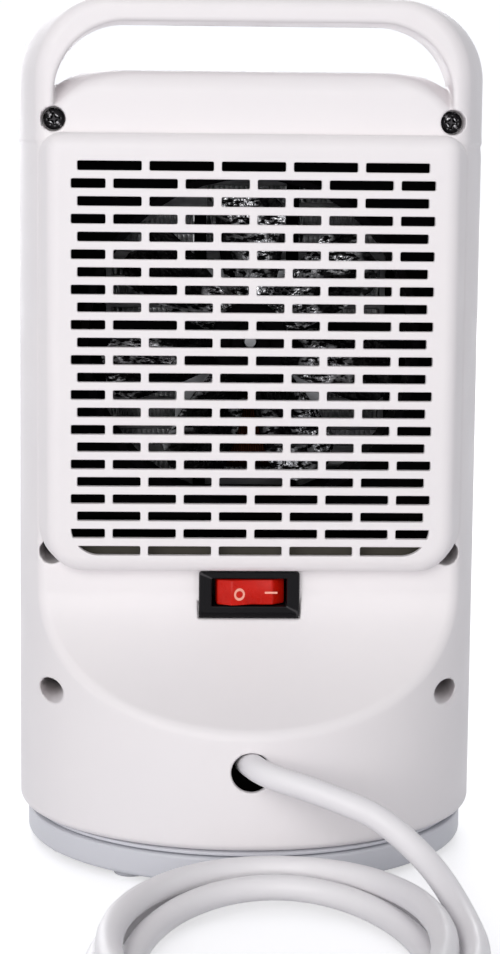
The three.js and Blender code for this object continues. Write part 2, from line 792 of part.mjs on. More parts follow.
// Stamped blades standing at an angle round a hub on the shaft.
function fanBlades() {
  const blade = [
    [-BLADE_CHORD * 0.28, HUB_R - 2],
    [BLADE_CHORD * 0.28, HUB_R - 2],
    [BLADE_CHORD * 0.5, FAN_R * 0.72],
    [BLADE_CHORD * 0.42, FAN_R * 0.93],
    [BLADE_CHORD * 0.2, FAN_R - 1],
    [-BLADE_CHORD * 0.2, FAN_R - 1],
    [-BLADE_CHORD * 0.42, FAN_R * 0.93],
    [-BLADE_CHORD * 0.5, FAN_R * 0.72],
  ];
  const blades = [];
  for (let i = 0; i < BLADE_COUNT; i++) {
    const geometry = new THREE.ExtrudeGeometry(shapeOf(blade), { depth: BLADE_THICK, bevelEnabled: false });
    geometry.translate(0, 0, -BLADE_THICK / 2);
    geometry.rotateY(THREE.MathUtils.degToRad(BLADE_PITCH_DEG));
    geometry.rotateX(Math.PI / 2);
    geometry.rotateY((i * 2 * Math.PI) / BLADE_COUNT);
    geometry.translate(0, BLADE_MID_Y, FAN_Z);
    blades.push(solid(geometry));
  }
  const hub = rodY(0, FAN_Z, HUB_R, BLADE_MID_Y - 5, BLADE_MID_Y + 5, 32);
  const cap = rodY(0, FAN_Z, HUB_R * 0.5, BLADE_MID_Y + 4, BLADE_MID_Y + 8, 24);
  const bore = rodY(0, FAN_Z, SHAFT_R + GAP, BLADE_MID_Y - 10, BLADE_MID_Y + 6, 20);
  return union([hub, cap, ...blades]).subtract(bore);
}

function motorCore() {
  const half = CORE_SIDE / 2;
  const y1 = CORE_FRONT_Y + CORE_LENGTH;
  const stack = block(-half, half, CORE_FRONT_Y, y1, FAN_Z - half - 14, FAN_Z + half);
  const bore = rodY(0, FAN_Z, ROTOR_R + 0.6, -40, 10, 36);
  const window = block(-half + 9, half - 9, -40, 10, FAN_Z - half - 5, FAN_Z - half + 7);
  const notch = [-1, 1].map((side) => rodY(side * half * 0.86, FAN_Z + half * 0.86, 2, -40, 10, 16));
  return stack.subtract(bore).subtract(window).subtract(union(notch));
}

// The wound bobbin round the lower limb of the core.
function motorWinding() {
  const half = CORE_SIDE / 2;
  const y0 = CORE_FRONT_Y - 7;
  const y1 = CORE_FRONT_Y + CORE_LENGTH + 7;
  const low = FAN_Z - half - 14;
  const outline = roundedRect(y0, y1, low - 5, FAN_Z - half + 6, 4, 4, 3);
  const limb = block(-40, 40, CORE_FRONT_Y - GAP, CORE_FRONT_Y + CORE_LENGTH + GAP, low - GAP, low + 9 + GAP);
  const middle = alongX(outline, -half + 11, half - 11);
  const cheekLine = roundedRect(y0 - 1, y1 + 1, low - 6, FAN_Z - half + 6.6, 4, 4, 3);
  const cheeks = [-half + 9 + GAP, half - 11 - GAP].map((x) => alongX(cheekLine, x, x + 2));
  return union([middle, ...cheeks]).subtract(limb);
}

function motorRotor() {
  const y1 = CORE_FRONT_Y + CORE_LENGTH;
  const body = rodY(0, FAN_Z, ROTOR_R, CORE_FRONT_Y, y1, 32);
  const shaft = rodY(0, FAN_Z, SHAFT_R, CORE_FRONT_Y - 9, BLADE_MID_Y + 5.5, 20);
  return body.add(shaft);
}

// A pressed bearing strap across the front end of the core, held by two studs.
function motorStrap() {
  const y1 = CORE_FRONT_Y - GAP;
  const strap = alongY(roundedRect(-18, 18, FAN_Z + 3, FAN_Z + 21, 2, 2, 3), y1 - 4.6, y1 - 3);
  const cup = rodY(0, FAN_Z, 7, y1 - 6, y1 - 1.2, 28);
  const web = block(-7, 7, y1 - 4.6, y1 - 3, FAN_Z - 2, FAN_Z + 8);
  const studs = [-1, 1].map((side) => rodY(side * 14, FAN_Z + 16, 2.6, y1 - 4.6, y1, 16));
  const hole = rodY(0, FAN_Z, SHAFT_R + GAP, -40, 0, 20);
  return union([strap, cup, web, ...studs]).subtract(hole);
}

// The plate between core and fan partition, with its own bearing hole.
function motorBackPlate() {
  const y0 = CORE_FRONT_Y + CORE_LENGTH + GAP;
  const y1 = -1.6 - GAP;
  const plate = alongY(roundedRect(-20, 20, FAN_Z - 5, FAN_Z + 21, 3, 3, 3), y1 - 1.6, y1);
  const studs = [-1, 1].map((side) => rodY(side * 14, FAN_Z + 16, 2.6, y0, y1, 16));
  const hole = rodY(0, FAN_Z, SHAFT_R + GAP, -20, 5, 20);
  return union([plate, ...studs]).subtract(hole);
}

function heaterFrame() {
  const w = HEATER_HALF_WIDTH;
  const h = HEATER_HALF_HEIGHT;
  const y0 = HEATER_FRONT_Y;
  const y1 = HEATER_FRONT_Y + HEATER_DEPTH;
  const outer = alongY(roundedRect(-w, w, FAN_Z - h, FAN_Z + h, 3, 3, 3), y0, y1 + 2.4);
  const inner = block(-w + 4, w - 4, y0 - 5, y1 + 5, FAN_Z - h + 4, FAN_Z + h - 4);
  const column = turned(
    [
      [0, 0],
      [HALF_WIDTH - WALL - GAP, 0],
      [HALF_WIDTH - WALL - GAP, DOME_TOP],
      [0, DOME_TOP],
    ],
    OVAL_SIDES,
    SQUEEZE,
  );
  const ears = block(-FAR, FAR, y1, y1 + 2.4, FAN_Z - h + 6, FAN_Z + h - 6).intersect(column);
  const bars = [-1, 1].map((side) => block(side * 15 - 2, side * 15 + 2, y1 + 0.6, y1 + 2.4, FAN_Z - h, FAN_Z + h));
  return outer.add(ears).subtract(inner).add(union(bars).intersect(outer));
}

// Heating block: ceramic stones in tubes with gilled fins between them.
function heatingBlock() {
  const w = HEATER_HALF_WIDTH - 4 - GAP;
  const h = HEATER_HALF_HEIGHT - 4 - GAP;
  const y0 = HEATER_FRONT_Y + 1;
  const y1 = HEATER_FRONT_Y + HEATER_DEPTH;
  const full = block(-w, w, y0, y1, FAN_Z - h, FAN_Z + h);
  const gaps = [];
  const count = Math.floor((2 * h - 6) / FIN_PITCH);
  for (let i = 0; i < count; i++) {
    const z = FAN_Z + (i - (count - 1) / 2) * FIN_PITCH;
    for (const [x0, x1] of [[-w + 2, -17], [-13, 13], [17, w - 2]]) {
      gaps.push(block(x0, x1, y0 - 2, y1 + 2, z - FIN_GAP / 2, z + FIN_GAP / 2));
    }
  }
  return full.subtract(union(gaps));
}

// A bimetal cut-out on a tab at the top of the heater frame.
function thermostat() {
  const y = HEATER_FRONT_Y + HEATER_DEPTH + 2.4 + GAP;
  const z = FAN_Z + HEATER_HALF_HEIGHT - 13;
  const can = rodY(34, z, 7.8, y, y + 6, 28);
  const flange = block(13, 48, y, y + 1.2, z - 4, z + 4);
  const tags = [-1, 1].map((side) => block(34 + side * 4 - 2, 34 + side * 4 + 2, y + 5.5, y + 12, z - 0.4, z + 0.4));
  return union([can, flange, ...tags]);
}

function thermalFuse() {
  const y = HEATER_FRONT_Y + HEATER_DEPTH + 2.4 + GAP + 0.5;
  const z = FAN_Z - HEATER_HALF_HEIGHT + 12;
  const geometry = new THREE.CylinderGeometry(2, 2, 14, 16);
  geometry.rotateZ(Math.PI / 2);
  geometry.translate(-34, y, z);
  const leads = block(-48, -13, y - 0.5, y + 0.5, z - 0.5, z + 0.5);
  return solid(geometry).add(leads);
}

// ---------- lower compartment ----------

function swingMotor() {
  const z0 = PLATE_BOTTOM + PLATE_THICK + GAP;
  const y = -gearDistance();
  const can = rodZ(0, y, SWING_MOTOR_R, z0, z0 + SWING_MOTOR_LENGTH, 32);
  const ears = block(-SWING_MOTOR_R - 6, SWING_MOTOR_R + 6, y - 4, y + 4, z0, z0 + 1.2);
  const hole = rodZ(0, y, 2.5 + GAP, 0, z0 + 12, 20);
  return can.add(ears).subtract(hole);
}

function gearDistance() {
  return (GEAR_MODULE * (PINION_TEETH + SECTOR_TEETH)) / 2;
}

// The outline of one gear tooth as (angle, radius) pairs, thinned by half the backlash.
function toothFlanks(teeth) {
  const pitchR = (GEAR_MODULE * teeth) / 2;
  const pressure = THREE.MathUtils.degToRad(20);
  const baseR = pitchR * Math.cos(pressure);
  const tipR = pitchR + GEAR_MODULE;
  const rootR = pitchR - 1.35 * GEAR_MODULE;
  const involute = (r) => {
    const turn = Math.sqrt(Math.max((r / baseR) ** 2 - 1, 0));
    return turn - Math.atan(turn);
  };
  const half = Math.PI / (2 * teeth) - TOOTH_BACKLASH / (2 * pitchR) + involute(pitchR);
  const steps = 3;
  const startR = Math.max(baseR, rootR);
  const flank = [];
  for (let i = 0; i <= steps; i++) {
    const r = startR + ((tipR - startR) * i) / steps;
    flank.push([half - involute(r), r]);
  }
  const rising = flank.map(([angle, r]) => [-angle, r]);
  const falling = flank.slice().reverse();
  const rootHalf = half - involute(startR);
  return [[-rootHalf, rootR], ...rising, ...falling, [rootHalf, rootR]];
}

// The sector of a gear from one tooth number to another about an angle.
function gearOutline(teeth, middle, first, last) {
  const points = [];
  for (let i = first; i <= last; i++) {
    for (const [angle, r] of toothFlanks(teeth)) {
      const at = middle + (i * 2 * Math.PI) / teeth + angle;
      points.push([r * Math.cos(at), r * Math.sin(at)]);
    }
  }
  return points;
}

// The pinion stands a half tooth turned, so its gap meets a tooth of the sector.
function drivePinion() {
  const y = -gearDistance();
  const middle = Math.PI / 2 + Math.PI / PINION_TEETH;
  const outline = gearOutline(PINION_TEETH, middle, 0, PINION_TEETH - 1);
  const gear = alongZ(outline, GEAR_BOTTOM, GEAR_TOP).translate([0, y, 0]);
  const shaft = rodZ(0, y, 2.5, GEAR_BOTTOM, PLATE_BOTTOM + PLATE_THICK + 10, 20);
  return gear.add(shaft);
}

function driveSector() {
  const reach = 6;
  const outline = gearOutline(SECTOR_TEETH, -Math.PI / 2, -reach, reach);
  const rootR = (GEAR_MODULE * SECTOR_TEETH) / 2 - 1.35 * GEAR_MODULE;
  const toothed = alongZ([...outline, [0, 0]], GEAR_BOTTOM, GEAR_TOP);
  const round = rodZ(0, 0, rootR, GEAR_BOTTOM, GEAR_TOP, 32);
  const bore = rodZ(0, 0, 16, 0, 20, 28);
  return toothed.add(round).subtract(bore);
}

function pivotWasher() {
  const ring = rodZ(0, 0, 15, GEAR_TOP - 2, GEAR_TOP, 36);
  return ring.subtract(rodZ(0, 0, SCREW_SHANK_R + GAP, 0, 20, 16));
}

function pivotScrew() {
  const head = rodZ(0, 0, 4, GEAR_TOP - 2 - GAP - 2.4, GEAR_TOP - 2 - GAP, 24);
  const shank = rodZ(0, 0, SCREW_SHANK_R, GEAR_TOP - 4, PLATE_BOTTOM + 6, 16);
  return head.add(shank);
}

function tipSwitch() {
  const z0 = PLATE_BOTTOM + PLATE_THICK + GAP;
  return block(30, 46, 12, 26, z0, z0 + 16).add(block(33, 43, 16, 22, z0 + 15, z0 + 19));
}

// Screw terminals that join the mains cord to the inner wiring.
function terminalBlock() {
  const z0 = PLATE_BOTTOM + PLATE_THICK + GAP;
  const body = block(-15, 15, 24, 36, z0, z0 + 13);
  const towers = [-10, 0, 10].map((x) => rodZ(x, 30, 3.4, z0 + 12, z0 + 17, 20));
  const wells = [-10, 0, 10].map((x) => rodZ(x, 30, 2, z0 + 14, z0 + 20, 16));
  return union([body, ...towers]).subtract(union(wells));
}

function powerBoard() {
  const z0 = PLATE_BOTTOM + PLATE_THICK + GAP;
  const board = block(-52, -36, -12, 34, z0 + 4, z0 + 5.6);
  const feet = [[-50, -10], [-38, -10], [-50, 32], [-38, 32]].map(([x, y]) => rodZ(x, y, 1.8, z0, z0 + 4.5, 12));
  const relay = block(-50, -38, -4, 12, z0 + 5.5, z0 + 20);
  const capacitor = block(-49, -39, 18, 28, z0 + 5.5, z0 + 16);
  return union([board, relay, capacitor, ...feet]);
}

// The bar that holds the cord down on its saddle.
function cordClamp() {
  const z = CORD_HOLE_Z + CORD_RISE;
  const bar = block(-10, 10, 46.5, 53.5, z - CORD_D / 2, z + 7);
  const groove = rodY(0, z, CORD_D / 2 + GAP, 40, 60, 20);
  const under = block(-CORD_D / 2 - GAP, CORD_D / 2 + GAP, 40, 60, z - 8, z);
  return bar.subtract(groove).subtract(under);
}

// ---------- base ----------

function baseShell() {
  const grooveTop = BASE_TOP + GROOVE_HEIGHT;
  const discTop = BODY_BOTTOM - GAP;
  const profile = [
    [0, BASE_BOTTOM],
    ...arc(BASE_R - BASE_LOW_ROUND, BASE_BOTTOM + BASE_LOW_ROUND, BASE_LOW_ROUND, -90, 0, 2),
    ...arc(BASE_R - BASE_HIGH_ROUND, BASE_TOP - BASE_HIGH_ROUND, BASE_HIGH_ROUND, 0, 90, 2),
    [DISC_R - GROOVE_DEPTH, BASE_TOP],
    [DISC_R - GROOVE_DEPTH, grooveTop],
    [DISC_R, grooveTop],
    [DISC_R, discTop],
    [NECK_R, discTop],
    [NECK_R, PLATE_BOTTOM - GAP],
    [0, PLATE_BOTTOM - GAP],
  ];
  const inner = [
    [0, 0],
    [BASE_R - BASE_WALL, 0],
    [BASE_R - BASE_WALL, BASE_TOP - BASE_WALL],
    [NECK_R - BASE_WALL, BASE_TOP - BASE_WALL],
    [NECK_R - BASE_WALL, GEAR_TOP + GAP],
    [0, GEAR_TOP + GAP],
  ];
  const sleeveHole = rodZ(0, 0, PIVOT_R + GAP, 0, 40, 32);
  const d = gearDistance();
  const reach = SWING_DEG + 6;
  const slot = alongZ(
    [
      ...arc(0, 0, d + 3.6, -90 - reach, -90 + reach, 16),
      ...arc(0, 0, d - 3.6, -90 + reach, -90 - reach, 16),
    ],
    0,
    40,
  );
  return turned(profile, 54).subtract(turned(inner, 40)).subtract(sleeveHole).subtract(slot);
}

// The closing plate under the base, with a rim that the feet are pressed into.
function baseCover() {
  const edge = BASE_R - BASE_WALL - GAP;
  const plate = rodZ(0, 0, edge, BASE_BOTTOM, BASE_BOTTOM + 2.2, 40);
  const postRing = NECK_R - COVER_POST_INSET;
  const posts = [30, 150, 210, 330].map((deg) => {
    const angle = THREE.MathUtils.degToRad(deg);
    return rodZ(postRing * Math.cos(angle), postRing * Math.sin(angle), 4, BASE_BOTTOM + 1, GEAR_TOP, 12);
  });
  const ribRing = BASE_R - COVER_RIB_INSET;
  const ribTop = BASE_TOP - BASE_WALL - GAP;
  const ribs = [0, 90, 180, 270].map((deg) => {
    const angle = THREE.MathUtils.degToRad(deg + 45);
    return rodZ(ribRing * Math.cos(angle), ribRing * Math.sin(angle), 2.5, BASE_BOTTOM + 1, ribTop, 10);
  });
  return union([plate, ...posts, ...ribs]);
}

function foot(index) {
  const angle = THREE.MathUtils.degToRad(90 + FOOT_ANGLES[index]);
  return turned(
    [
      [0, 0],
      [FOOT_R - 0.5, 0],
      [FOOT_R, 0.5],
      [FOOT_R, BASE_BOTTOM - GAP],
      [0, BASE_BOTTOM - GAP],
    ],
    14,
  ).translate([FOOT_RING_R * Math.cos(angle), FOOT_RING_R * Math.sin(angle), 0]);
}

// ---------- mains cord ----------

// The cord's middle line from just outside the housing down on to the coil.
const LEAD_POINTS = [
  [-2.8, 76, 38.3],
  [-6.2, 79, 37.5],
  [-16.2, 84, 35.6],
  [-26.4, 88.5, 32.7],
  [-34, 92, 30.4],
  [-41.4, 97, 25.9],
  [-48.2, 104, 20.7],
  [-52.4, 114, 17],
  [-55.6, 128, 13.4],
];

function eased(from, to, part) {
  return from + (to - from) * part * part * (3 - 2 * part);
}

// The reach at a turn, eased between the quarters of the same direction (across or along).
function coilReach(quarter, along) {
  const last = COIL_QUARTERS.length - 1;
  const before = 2 * Math.floor((quarter - along) / 2) + along;
  const from = Math.max(before, along);
  const to = Math.min(before + 2, last - along);
  const part = to > from ? THREE.MathUtils.clamp((quarter - from) / (to - from), 0, 1) : 0;
  return eased(COIL_QUARTERS[from].reach, COIL_QUARTERS[Math.max(to, from)].reach, part);
}

// The coil's middle line, counted in quarter turns.
function coilPoint(quarter) {
  const angle = Math.PI - (quarter * Math.PI) / 2;
  const index = Math.min(Math.floor(quarter), COIL_QUARTERS.length - 2);
  const height = eased(COIL_QUARTERS[index].height, COIL_QUARTERS[index + 1].height, quarter - index);
  return new THREE.Vector3(
    COIL_X + coilReach(quarter, 0) * Math.cos(angle),
    COIL_Y + coilReach(quarter, 1) * Math.sin(angle),
    height,
  );
}

// A closed tube through rings of points; every ring stands square to the middle line.
function ringTube(points, radius, sides) {
  const positions = [];
  const rings = points.map((point, i) => {
    const before = points[Math.max(i - 1, 0)];
    const after = points[Math.min(i + 1, points.length - 1)];
    const along = after.clone().sub(before).normalize();
    const aside = new THREE.Vector3(0, 0, 1).cross(along).normalize();
    const upward = along.clone().cross(aside);
    return Array.from({ length: sides }, (_, k) => {
      const angle = ((k + 0.5) * 2 * Math.PI) / sides;
      return point
        .clone()
        .addScaledVector(aside, radius * Math.cos(angle))
        .addScaledVector(upward, radius * Math.sin(angle));
    });
  });
  const put = (...corners) => corners.forEach((corner) => positions.push(corner.x, corner.y, corner.z));
  for (let i = 0; i + 1 < rings.length; i++) {
    for (let k = 0; k < sides; k++) {
      const n = (k + 1) % sides;
      put(rings[i][k], rings[i][n], rings[i + 1][n]);
      put(rings[i][k], rings[i + 1][n], rings[i + 1][k]);
    }
  }
  const first = rings[0];
  const last = rings[rings.length - 1];
  for (let k = 1; k + 1 < sides; k++) {
    put(first[0], first[k + 1], first[k]);
    put(last[0], last[k], last[k + 1]);
  }
  const geometry = new THREE.BufferGeometry();
  geometry.setAttribute("position", new THREE.Float32BufferAttribute(positions, 3));
  return solid(geometry);
}

// The coil with straight ends, one diameter long.
function coilLine() {
  const quarters = COIL_QUARTERS.length - 1;
  const count = (quarters / 4) * COIL_STEPS;
  const points = [];
  for (let i = 0; i <= count; i++) points.push(coilPoint((i * quarters) / count));
  const start = points[0].clone().add(new THREE.Vector3(0, -CORD_D, 0));
  const end = points[count].clone().add(new THREE.Vector3(0, CORD_D, 0));
  return [start, ...points, end];
}

function leastGap(points) {
  let least = Infinity;
  for (let i = 0; i < points.length; i++) {
    for (let j = i + 8; j < points.length; j++) least = Math.min(least, points[i].distanceTo(points[j]));
  }
  return least - CORD_D;
}

function smoothTube(points, steps, sides) {
  const curve = new THREE.CatmullRomCurve3(points, false, "centripetal");
  const ring = Array.from({ length: sides }, (_, k) => {
    const angle = (k * 2 * Math.PI) / sides;
    return [(CORD_D / 2) * Math.cos(angle), (CORD_D / 2) * Math.sin(angle)];
  });
  return solid(new THREE.ExtrudeGeometry(shapeOf(ring), { extrudePath: curve, steps, bevelEnabled: false }));
}

function cordLead() {
  const line = coilLine();
  const joint = line[0].clone();
  const points = LEAD_POINTS.map(([x, y, z]) => new THREE.Vector3(x, y, z));
  points.push(new THREE.Vector3(joint.x, joint.y - 6, joint.z + 0.3));
  points.push(new THREE.Vector3(joint.x, joint.y - GAP, joint.z));
  return smoothTube(points, 26, 10);
}

// The last stretch on the floor, rising to the middle of the plug.
function cordTail() {
  const line = coilLine();
  const joint = line[line.length - 1];
  const points = [
    new THREE.Vector3(joint.x, joint.y + GAP, joint.z),
    new THREE.Vector3(joint.x, joint.y + 8, joint.z + 0.2),
    new THREE.Vector3(joint.x - 1, joint.y + 30, joint.z + 0.8),
    new THREE.Vector3(joint.x - 3, joint.y + 52, joint.z + 4),
    new THREE.Vector3(PLUG_X, PLUG_START_Y - 20, PLUG_HEIGHT - 3.5),
    new THREE.Vector3(PLUG_X, PLUG_START_Y - 8, PLUG_HEIGHT - 0.2),
    new THREE.Vector3(PLUG_X, PLUG_START_Y - 2 * GAP, PLUG_HEIGHT),
  ];
  return smoothTube(points, 16, 10);
}

// A two-pin plug with a tapered grip, lying with its pins side by side.
function plugBody() {
  const profile = [
    [0, 0],
    [4.6, 0],
    [6.2, 18],
    [11, 21],
    [14, 30],
    [15, 40],
    [18.2, 46],
    [18.4, 52],
    [17.6, 53],
    [0, 53],
  ];
  const geometry = new THREE.LatheGeometry(
    profile.map(([r, y]) => new THREE.Vector2(r, y)),
    20,
  );
  geometry.translate(PLUG_X, PLUG_START_Y, PLUG_HEIGHT);
  const sockets = [-1, 1].map((side) =>
    rodY(
      PLUG_X + side * PLUG_PIN_SPREAD,
      PLUG_HEIGHT,
      PLUG_PIN_R + GAP,
      PLUG_START_Y + 43,
      PLUG_START_Y + 60,
      16,
    ),
  );
  return solid(geometry).subtract(union(sockets));
}

function plugPin(side) {
  const x = PLUG_X + side * PLUG_PIN_SPREAD;
  const y0 = PLUG_START_Y + 43 + GAP;
  const end = PLUG_START_Y + 53 + 19;
  const tip = new THREE.SphereGeometry(PLUG_PIN_R, 16, 8);
  tip.translate(x, end - PLUG_PIN_R, PLUG_HEIGHT);
  return rodY(x, PLUG_HEIGHT, PLUG_PIN_R, y0, end - PLUG_PIN_R, 16).add(solid(tip));
}

const node = (name, made, slot) => ({ name, made, slot });

// Colours, roughness and metalness of each kind of surface.
const LOOKS = {
  shell: { color: 0xf3f3f4, roughness: 0.34, metalness: 0 },
  base: { color: 0xd4d7da, roughness: 0.4, metalness: 0 },
  outlet: { color: 0x2a2b2d, roughness: 0.5, metalness: 0 },
  black: { color: 0x161617, roughness: 0.38, metalness: 0 },
  red: { color: 0xb8150c, roughness: 0.2, metalness: 0 },
  board: { color: 0x1f5a35, roughness: 0.6, metalness: 0 },
  blades: { color: 0xb9bcc0, roughness: 0.3, metalness: 1 },
  steel: { color: 0x8e9094, roughness: 0.35, metalness: 1 },
  screw: { color: 0x222223, roughness: 0.35, metalness: 0.9 },
  copper: { color: 0x9c5a2c, roughness: 0.4, metalness: 0.8 },
  inner: { color: 0x3a3b3c, roughness: 0.6, metalness: 0 },
  ceramic: { color: 0xc9ccd0, roughness: 0.45, metalness: 0.8 },
  rubber: { color: 0xc8cacc, roughness: 0.85, metalness: 0 },
  cord: { color: 0xf2f2f2, roughness: 0.45, metalness: 0 },
  brass: { color: 0xc9b26a, roughness: 0.3, metalness: 1 },
};

const coil = coilLine();
console.log("least gap of the coil to itself, mm: " + leastGap(coil).toFixed(2));

const nodes = [
  node("rear_shell", rearShell(), "shell"),
  node("front_shell", frontShell(), "shell"),
  node("bottom_plate", bottomPlate(), "inner"),
  node("rear_cover", rearCover(), "shell"),
  node("switch_body", switchBody(), "black"),
  node("switch_rocker", rocker(), "red"),
  node("outlet_grille", outletGrille(), "outlet"),
  node("control_panel", controlPanel(), "black"),
  node("control_board", controlBoard(), "board"),
  node("button_power", button(0), "shell"),
  node("button_heat", button(1), "shell"),
  node("button_swing", button(2), "shell"),
  node("fan_shroud", fanShroud(), "inner"),
  node("fan_blades", fanBlades(), "blades"),
  node("motor_core", motorCore(), "steel"),
  node("motor_winding", motorWinding(), "copper"),
  node("motor_rotor", motorRotor(), "steel"),
  node("motor_strap", motorStrap(), "steel"),
  node("motor_back_plate", motorBackPlate(), "steel"),
  node("heater_frame", heaterFrame(), "inner"),
  node("heating_block", heatingBlock(), "ceramic"),
  node("thermostat", thermostat(), "ceramic"),
  node("thermal_fuse", thermalFuse(), "ceramic"),
  node("swing_motor", swingMotor(), "steel"),
  node("drive_pinion", drivePinion(), "inner"),
  node("drive_sector", driveSector(), "inner"),
  node("pivot_washer", pivotWasher(), "steel"),
  node("pivot_screw", pivotScrew(), "screw"),
  node("tip_switch", tipSwitch(), "black"),
  node("terminal_block", terminalBlock(), "inner"),
  node("power_board", powerBoard(), "board"),
  node("base_shell", baseShell(), "base"),
  node("base_cover", baseCover(), "base"),
  node("cord_stub", rodY(0, CORD_HOLE_Z + CORD_RISE, CORD_D / 2, 42, STUB_END_Y, 16), "cord"),
  node("cord_lead", cordLead(), "cord"),
  node("cord_coil", ringTube(coil, CORD_D / 2, COIL_SIDES), "cord"),
  node("cord_tail", cordTail(), "cord"),
  node("cord_clamp", cordClamp(), "inner"),
  node("plug_body", plugBody(), "cord"),
  node("plug_pin_left", plugPin(-1), "brass"),
  node("plug_pin_right", plugPin(1), "brass"),
];
for (const place of SCREW_PLACES) {
  for (const [side, word] of [[-1, "left"], [1, "right"]]) {
    const name = "screw_" + place.name + "_" + word;
    nodes.push(node(name, caseScrew(side * place.x, place.z, place.seat), "screw"));
  }
}
FOOT_ANGLES.forEach((_, i) => nodes.push(node("foot_" + (i + 1), foot(i), "rubber")));

const heater = new THREE.Group();
heater.name = "fan_heater";
for (const { name, made, slot } of nodes) {
  const mesh = new THREE.Mesh(geometryOf(made), new THREE.MeshStandardMaterial(LOOKS[slot]));
  mesh.name = name;
  heater.add(mesh);
}

export default heater;
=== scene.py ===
"""Free-standing fan heater with a loop handle, seen from behind on a pale floor."""
import itertools
import json
import math

import bmesh
import bpy
import numpy as np
from mathutils import Matrix, Vector, geometry

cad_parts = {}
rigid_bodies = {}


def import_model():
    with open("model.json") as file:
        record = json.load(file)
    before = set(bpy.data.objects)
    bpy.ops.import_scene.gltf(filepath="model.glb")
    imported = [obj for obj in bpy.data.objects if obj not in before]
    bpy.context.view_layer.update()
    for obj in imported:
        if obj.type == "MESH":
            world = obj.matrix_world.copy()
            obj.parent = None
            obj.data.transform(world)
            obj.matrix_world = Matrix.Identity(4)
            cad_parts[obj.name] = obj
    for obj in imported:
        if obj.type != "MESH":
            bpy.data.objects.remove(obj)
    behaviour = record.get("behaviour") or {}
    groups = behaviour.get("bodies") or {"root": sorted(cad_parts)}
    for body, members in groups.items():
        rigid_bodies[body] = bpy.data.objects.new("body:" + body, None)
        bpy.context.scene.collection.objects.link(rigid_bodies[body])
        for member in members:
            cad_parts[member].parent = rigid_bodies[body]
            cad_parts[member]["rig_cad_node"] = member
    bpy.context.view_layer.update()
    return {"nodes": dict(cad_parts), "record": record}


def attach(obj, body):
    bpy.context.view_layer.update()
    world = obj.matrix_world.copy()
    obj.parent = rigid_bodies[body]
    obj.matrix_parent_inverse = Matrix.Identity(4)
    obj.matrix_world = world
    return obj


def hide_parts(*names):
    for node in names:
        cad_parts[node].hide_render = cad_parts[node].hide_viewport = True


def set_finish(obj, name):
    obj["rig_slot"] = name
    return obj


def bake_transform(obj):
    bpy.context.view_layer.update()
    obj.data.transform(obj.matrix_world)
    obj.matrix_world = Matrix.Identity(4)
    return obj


MM = 0.001
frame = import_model()
nodes = frame["nodes"]


def placed(name, data):
    made = bpy.data.objects.new(name, data)
    bpy.context.scene.collection.objects.link(made)
    return made


# ---------- camera ----------

SENSOR_WIDTH, PICTURE_HEIGHT, FOCAL_PIXELS = 36, 954, 2500
CAMERA_PLACE = (25.66, 789.14, 227.69)
CAMERA_FORWARD = (-0.0334, -0.9894, -0.1412)
CAMERA_RIGHT = (-0.9994, 0.0324, 0.0099)


def make_camera():
    data = bpy.data.cameras.new("camera")
    data.sensor_width = SENSOR_WIDTH
    data.lens = SENSOR_WIDTH * FOCAL_PIXELS / PICTURE_HEIGHT
    data.clip_start = 0.01
    data.clip_end = 20
    camera = placed("camera", data)
    forward = Vector(CAMERA_FORWARD).normalized()
    right = Vector(CAMERA_RIGHT)
    right = (right - forward * right.dot(forward)).normalized()
    up = right.cross(forward)
    turn = Matrix((right, up, -forward)).transposed().to_4x4()
    camera.matrix_world = Matrix.Translation(Vector(CAMERA_PLACE) * MM) @ turn
    bpy.context.scene.camera = camera


make_camera()


# ---------- mesh helpers, all in millimetres ----------

SHARP_ANGLE = 32


def entered(made, body, slot, replaced):
    """Enters a piece in the frame: its body, its slot and the nodes that it stands for."""
    if body:
        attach(made, body)
    if slot:
        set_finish(made, slot)
    if replaced:
        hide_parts(*replaced)
    return made


def piece(name, points, faces, body, slot, replaced=(), sharp=SHARP_ANGLE):
    mesh = bpy.data.meshes.new(name)
    mesh.from_pydata([tuple(float(c) * MM for c in p) for p in points], [], faces)
    mesh.validate()
    mesh.update()
    made = placed(name, mesh)
    mesh.shade_smooth()
    mesh.set_sharp_from_angle(angle=math.radians(sharp))
    return entered(made, body, slot, replaced)


def catmull(points, step):
    """A smooth line through the points, with a new point about every step."""
    p = np.array(points, float)
    p = np.vstack([2 * p[0] - p[1], p, 2 * p[-1] - p[-2]])
    out = []
    for i in range(1, len(p) - 2):
        t = np.cumsum([0] + [np.linalg.norm(p[i + k + 1] - p[i + k]) ** 0.5 for k in (-1, 0, 1)])
        count = max(2, math.ceil(np.linalg.norm(p[i + 1] - p[i]) / step))
        for s in np.linspace(t[1], t[2], count, endpoint=False):
            a = [((t[k + 1] - s) * p[i - 1 + k] + (s - t[k]) * p[i + k]) / (t[k + 1] - t[k])
                 for k in range(3)]
            b = [((t[k + 2] - s) * a[k] + (s - t[k]) * a[k + 1]) / (t[k + 2] - t[k])
                 for k in range(2)]
            out.append(((t[2] - s) * b[0] + (s - t[1]) * b[1]) / (t[2] - t[1]))
    out.append(p[-2])
    return np.array(out)


def evened(line, step):
    """The same line with its points an even step apart."""
    along = np.concatenate([[0], np.cumsum(np.linalg.norm(np.diff(line, axis=0), axis=1))])
    at = np.linspace(0, along[-1], math.ceil(along[-1] / step) + 1)
    return np.stack([np.interp(at, along, line[:, k]) for k in range(3)], axis=1)


def skinned(rings, n):
    """Faces from ring to ring, each of n points, and over the two ends."""
    faces = [(a + k, a + (k + 1) % n, a + n + (k + 1) % n, a + n + k)
             for a in range(0, (rings - 1) * n, n) for k in range(n)]
    return faces + [tuple(reversed(range(n))), tuple(range((rings - 1) * n, rings * n))]


